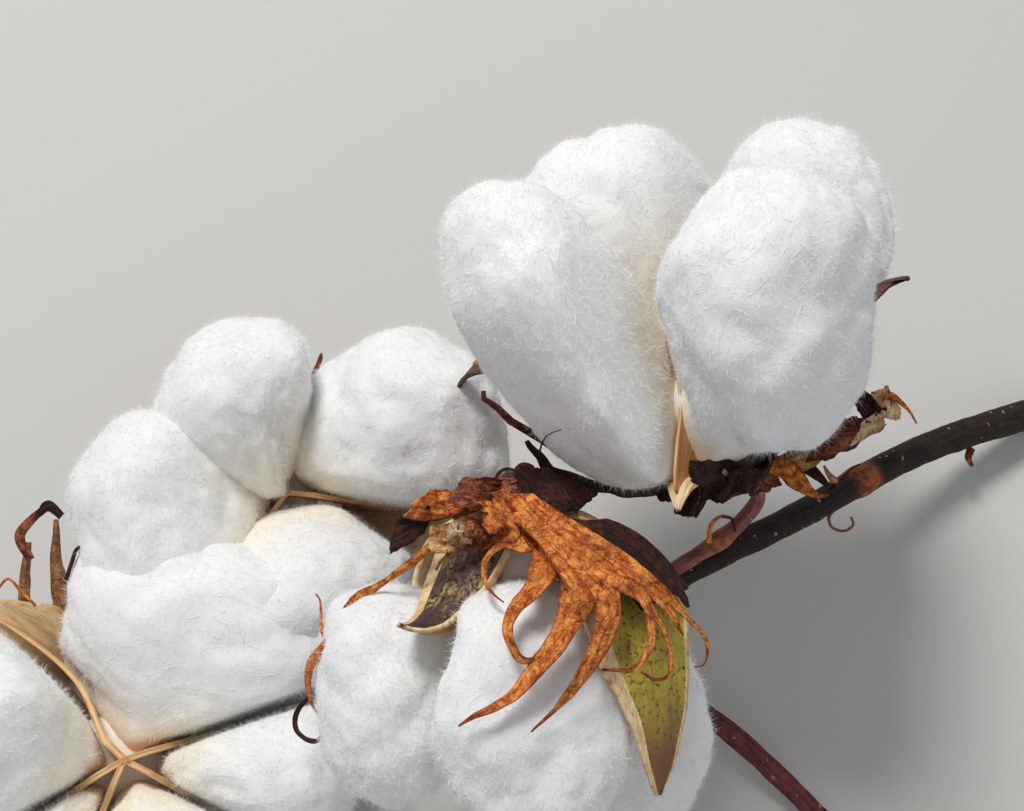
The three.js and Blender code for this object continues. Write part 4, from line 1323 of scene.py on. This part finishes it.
# Single strips, each with its look, its widths and its line.
STRIPS = {
    ("upper", "right"): [
        ("bract_tan", (12, 17, 22, 24, 14), [
            (752, 470, -8), (775, 467, -7), (797, 460, -5), (813, 453, -3), (828, 446, 0)]),
        ("bract", (12, 18, 22, 15, 8, 2), [
            (768, 466, -6), (786, 470, -4), (799, 482, -3), (810, 493, -2), (820, 497, -2), (829, 495, -2)]),
        ("bract_dark", (12, 16, 12, 8, 2), [
            (786, 461, -8), (805, 466, -7), (818, 477, -6), (827, 487, -5), (834, 489, -5)]),
        ("bract_dark", (2.4, 1.6, 1), [
            (828, 492, -5), (834, 488, -5), (843, 478, -4), (852, 469, -4), (860, 464, -4)]),
        ("bract", (9, 8, 5, 3, 1.5), [
            (872, 396, 7), (889, 395, 7), (900, 402, 6), (910, 412, 6), (917, 424, 5)]),
    ],
    ("upper", "front"): [
        ("bract_dark", (9, 10, 12, 10, 6, 3), [
            (718, 474, 2), (709, 488, 1), (715, 498, 0), (727, 499, 0), (738, 491, 0), (752, 483, 0)]),
        ("bract_dark", (7, 8, 6, 3), [(712, 476, 2), (706, 492, 1), (701, 506, 0), (695, 518, -1)]),
    ],
    ("upper", "left"): [
        ("bract_red", (8, 8, 8, 8, 9, 10, 9, 8, 7, 5), [
            (705, 470, -15), (640, 478, -22), (580, 462, -22), (545, 441, -19), (521, 427, -12),
            (510, 420, -9), (501, 411, -8), (490, 403, -8), (482, 398, -9), (483, 391, -11)]),
        ("bract_dark", (18, 20, 16, 11, 11, 12, 12, 5), [
            (705, 474, -13), (650, 488, -16), (600, 487, -14), (567, 477, -12), (548, 471, -10),
            (540, 457, -9), (532, 449, -8), (527, 441, -9)]),
        ("bract_dark", (26, 26, 18, 12, 2), [
            (705, 478, -12), (660, 487, -13), (630, 491, -12), (610, 489, -11), (600, 487, -11)]),
        ("bract_dark", (2.4, 2, 1.6, 1), [
            (540, 460, -8), (540, 450, -6), (545, 438), (552, 433), (561, 430)]),
    ],
    ("front", "fan"): [
        ("bract_dark", (3, 3, 2.5, 2), [
            (494, 486, 12), (498, 474, 12), (507, 469, 11), (517, 472, 10), (519, 481, 10), (510, 485, 11)]),
        ("bract_dark", (4, 3.5, 1.5), [(570, 488, 2), (580, 494, 3), (591, 501, 3)]),
        ("bract", (8, 9, 8, 7, 4, 2), [
            (478, 520, 14), (466, 536, 13), (452, 548, 12), (447, 556, 11), (440, 562, 11), (436, 570, 10)]),
    ],
    ("front", "left"): [
        ("bract", (8, 7, 5, 8, 9, 6, 8, 12, 12, 13, 12, 10, 7, 3, 1.5), [
            (474, 514, 12), (446, 532, 11), (424, 552, 10), (402, 569, 8), (379, 585, 6), (355, 602, 4.5),
            (339, 624, 3), (327, 645, 2), (311, 661, 1), (307, 685, 0.5), (312, 706, 0.5), (322, 722, 1)]),
        ("bract", (5, 4, 3, 2, 1.5), [
            (327, 641, 2), (322, 630, 2), (321, 611, 2), (320, 600, 2), (316, 594, 2)]),
        ("bract_dark", (3, 5, 5, 4.5, 4, 5, 3), [
            (309, 697, 0.5), (299, 708, 0), (295, 719, 0), (297, 731, 0), (307, 740, 0.5), (317, 741, 1),
            (322, 735, 1)]),
        ("bract_dark", (2, 2.5, 2), [(330, 657, 2), (325, 675, 1), (316, 695, 1)]),
    ],
    ("corner", "side"): [
        ("bract_tan", (8, 12, 13, 13, 12, 11, 6), [
            (112, 748, -50), (85, 705, -47), (60, 660, -43), (38, 630, -38), (27, 609, -33), (25, 578, -26),
            (28, 542, -24)]),
        ("bract_tan", (8, 14, 20, 26, 20, 13, 4), [
            (114, 746, -50), (92, 700, -47), (74, 650, -43), (66, 626, -38), (61, 600, -31), (56, 562, -25),
            (56, 520, -23)]),
        ("bract_dark", (5, 11, 8), [(38, 515, -19), (48, 506, -18), (61, 517, -18)]),
        ("bract_red", (8, 10, 9, 7), [(30, 560, -21), (19, 537, -20), (30, 521, -19), (46, 508, -19)]),
        ("bract_dark", (4, 4, 3, 3, 2.5), [
            (66, 580, -22), (72, 562, -20), (77, 549, -20), (86, 544, -20), (97, 548, -20), (104, 560, -20),
            (100, 572, -20)]),
        ("bract", (3, 4, 4, 2), [(101, 570, -20), (97, 578, -20), (91, 587, -21), (86, 596, -22)]),
        ("bract", (3, 3, 2), [(36, 606, -24), (20, 590, -23), (8, 579, -22), (-3, 590, -22)]),
    ],
}
# Crumpled scraps, each with its look and its corners.
SCRAPS = {
    ("upper", "right"): [
        ("bract_red", [(800, 464, -2), (838, 417, 3), (870, 420, 5), (860, 449, 2)]),
        ("bract_cream", [(847, 447, 4), (866, 417, 7), (885, 411, 7), (883, 431, 5)]),
        ("bract_dark", [(842, 393, 6), (868, 388, 8), (890, 408, 8), (868, 422, 6)]),
        ("bract_tan", [(866, 394, 9), (887, 385, 8), (899, 401, 7), (884, 410, 9)]),
        ("bract_cream", [(882, 402, 9), (899, 400, 7), (898, 421, 6), (885, 420, 8)]),
    ],
    ("upper", "front"): [
        ("bract_dark", [(671, 481, 2), (701, 483, 3), (697, 519, 1), (673, 513, 0)]),
        ("bract_dark", [(699, 480, 3), (735, 474, 3), (727, 503, 1), (705, 501, 0)]),
        ("bract_dark", [(729, 469, 3), (765, 466, 1), (758, 491, -1), (731, 495, 0)]),
        # This dark scrap stands in for a shaded hollow under the valve's rim: painted shadow.
        ("bract_dark", [(688, 461, 8), (724, 459, 8), (722, 487, 6), (690, 487, 7)]),
        ("bract_dark", [(654, 480, -1), (676, 486, 1), (673, 503, 0), (656, 500, -2)]),
        ("bract_red", [(738, 472, -2), (778, 466, -4), (782, 486, -8), (750, 496, -5)]),
    ],
    ("front", "fan"): [
        ("bract", [(446, 508, 12), (506, 484, 13), (526, 537, 15), (470, 553, 13)]),
        ("bract", [(402, 517, 11), (428, 488, 12), (484, 495, 13), (448, 522, 13)]),
        ("bract_dark", [(390, 554, 8), (395, 519, 10), (432, 505, 12.5), (426, 534, 10)]),
        ("bract_red", [(444, 504, 15), (464, 476, 14), (508, 478, 14), (486, 507, 16)]),
        ("bract_tan", [(428, 554, 12), (430, 526, 13), (458, 522, 15.5), (460, 552, 14)]),
        ("bract_cream", [(446, 541, 15.5), (451, 521, 17), (475, 519, 17), (473, 544, 16)]),
        ("bract_red", [(464, 537, 16.5), (470, 513, 17.5), (502, 511, 18), (495, 541, 17)]),
        ("bract", [(468, 508, 17), (486, 498, 16.5), (510, 520, 18), (490, 533, 18)]),
    ],
    ("front", "dark"): [
        # These dark scraps are partly a real dark bract and partly painted shadow filling the shaded area
        # behind the fan.
        ("bract_dark", [(504, 470, 10), (550, 467, 9), (578, 506, 8.5), (545, 523, 11)]),
        ("bract_dark", [(546, 468, 6), (592, 488, 4), (604, 492, 2), (566, 518, 8)]),
    ],
}

# How wide a drawn leaf is when it is draped, in pixels, the size of a pixel there, and how far up the boll's
# axis the point is that the leaves' ribs look away from.
LEAF_REACH = 36
PIXEL_MM = 0.162
RIBS_FROM = 20
RULED_TWISTS = (30, -50, 60, -20, 45)
DRAWN_CRUMPLED = 0.45

for n, (where, boll) in enumerate(BOLLS.items()):
    turn, base = home(boll)
    away = base + RIBS_FROM * turn[:, 2]
    for m, (name, spec) in enumerate(boll["bracts"].items()):
        seed = 3 * n + m + 1
        form = Form()
        if spec is not None:
            add_leaf(form, list(ruled_teeth(boll, spec)), spec["look"], seed, RULED_TWISTS, away)
        if (where, name) in LEAVES:
            teeth, look, lift, twists = LEAVES[where, name]
            drawn = []
            for notch, line, widths in teeth:
                points, places = draped(where, line, lift, LEAF_REACH)
                drawn.append((places[notch], points, np.array(widths) * PIXEL_MM))
            add_leaf(form, drawn, look, seed, twists, away, DRAWN_CRUMPLED)
        for k, (look, widths, line) in enumerate(STRIPS.get((where, name), [])):
            add_strip(form, where, look, widths, line, seed + 7 * k)
        for k, (look, corners) in enumerate(SCRAPS.get((where, name), [])):
            add_scrap(form, look, corners, seed + 5 * k)
        form.build(f"{where}_{name}_leaf", "bract", [f"{where}_bract_{name}"])


# Stems.
def add_limb(form, spec, seed):
    fine = spline(spec["points"], 200)
    length = np.linalg.norm(np.diff(fine, axis=0), axis=1).sum()
    rows = int(length / STEM_ROW_MM) + 2
    path = spline(spec["points"], rows)
    along = unit(np.gradient(path, axis=0))
    sides = carried(along, UP)
    t = np.linspace(0, 1, rows)
    bulge = sum(np.exp(-(((t - node) * length / NODE_MM) ** 2)) for node in spec.get("nodes", []))
    bulge = bulge + np.zeros(rows)
    first, last = spec["radii"]
    radius = through((first, (first + last) / 2, last), t) + spec.get("swell", 0) * bulge
    turn = circle(STEM_SIDES)
    ups = np.cross(along, sides)
    spokes = np.cos(turn)[None, :, None] * sides[:, None] + np.sin(turn)[None, :, None] * ups[:, None]
    rings = path[:, None] + radius[:, None, None] * spokes
    ridges = sum(high * noise(rings, wide, seed + more) for high, wide, more in BARK_RIDGES)
    rings = rings + ridges[..., None] * spokes
    points, quads, ends = loft(rings)
    shade = np.append(np.repeat(smooth(bulge * 1.3), STEM_SIDES), [0, 0])
    round_it = radius[:, None, None] * np.stack([np.cos(turn), 0 * turn, np.sin(turn)], axis=-1)
    grain = round_it + (t * length)[:, None, None] * np.array([0, 1, 0])
    grain = np.concatenate([grain.reshape(-1, 3), np.zeros((2, 3))])
    foot, top = ends[:STEM_SIDES], ends[STEM_SIDES:]
    form.add(points, (quads, top), spec["look"], shade, grain)
    cap = np.append(np.ones(rows * STEM_SIDES), [0, 0])
    form.add(points, foot, "cut_wood" if spec.get("cut") else spec["look"], cap)


# Dry stipules, scales and buds at the nodes of the stems.
STEM_STRIPS = {
    "main_stem": [
        ("pedicel", (5, 4, 3, 2.5, 2), [
            (838, 505, -46), (829, 517, -45), (832, 527, -44), (844, 531, -44), (853, 525, -44),
            (851, 517, -44)]),
        ("bract_tan", (9, 8, 5, 2), [(842, 488, -45), (834, 480, -44), (828, 473, -43), (824, 466, -42)]),
        ("bract_red", (12, 16, 12, 5), [(852, 496, -45), (842, 490, -44), (834, 494, -44), (827, 503, -44)]),
        ("bract_red", (8, 7, 4), [(972, 448, -67), (968, 458, -66), (972, 466, -65)]),
    ],
    "upper_stalk": [
        ("bract", (5, 4, 3.5, 2), [(709, 543, -20), (711, 525, -19), (722, 516, -18), (732, 519, -18)]),
        ("bract_dark", (3, 3, 2), [(722, 516, -18), (732, 519, -18), (735, 532, -19)]),
    ],
}

for n, (name, spec) in enumerate(STEMS.items()):
    form = Form()
    add_limb(form, spec, n)
    for k, (look, widths, line) in enumerate(STEM_STRIPS.get(name, [])):
        add_strip(form, "upper", look, widths, line, n + 3 * k)
    form.build(f"{name}_bark", spec["slot"], [name])

# Floor, lights and camera.
FLOOR_HALF = 2.5
LIT_POINT = (0, 0, 0.05)
floor_mesh = bpy.data.meshes.new("floor")
corners = [(x * FLOOR_HALF, y * FLOOR_HALF, 0) for x, y in ((-1, -1), (1, -1), (1, 1), (-1, 1))]
floor_mesh.from_pydata(corners, [], [[0, 1, 2, 3]])
floor_mesh.materials.append(LOOKS["floor"])
floor = linked("floor", floor_mesh)
floor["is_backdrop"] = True


def area_light(name, direction, distance, size, power, colour):
    light = linked(name, bpy.data.lights.new(name, "AREA"))
    light.data.shape = "DISK"
    light.data.size = size
    light.data.energy = power
    light.data.color = colour
    away = Vector(direction).normalized()
    light.location = Vector(LIT_POINT) + away * distance
    light.rotation_euler = away.to_track_quat("Z", "Y").to_euler()


area_light("key", (-0.25, 0.43, 0.86), 1.0, 0.3, 7.0, (1.0, 0.985, 0.96))
area_light("fill", (0.5, -0.8, 0.7), 1.4, 1.2, 2.0, (0.95, 0.97, 1.0))

world = bpy.data.worlds.new("studio")
world.use_nodes = True
world.node_tree.nodes["Background"].inputs["Color"].default_value = (0.88, 0.92, 0.96, 1)
world.node_tree.nodes["Background"].inputs["Strength"].default_value = 0.38
bpy.context.scene.world = world
bpy.context.scene.view_settings.view_transform = "Standard"

camera = linked("camera", bpy.data.cameras.new("camera"))
camera.data.sensor_width = SENSOR_MM
camera.data.lens = SENSOR_MM * FOCAL_PIXELS / IMAGE_WIDTH
camera.data.clip_start = 0.005
tipped = Matrix.Rotation(TIP, 4, "X")
camera.matrix_world = Matrix.Translation(MIDDLE * MM) @ tipped @ Matrix.Translation((0, 0, EYE * MM))
bpy.context.scene.camera = camera

str([[list(corner) for corner in box] for box in (cad_box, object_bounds())])
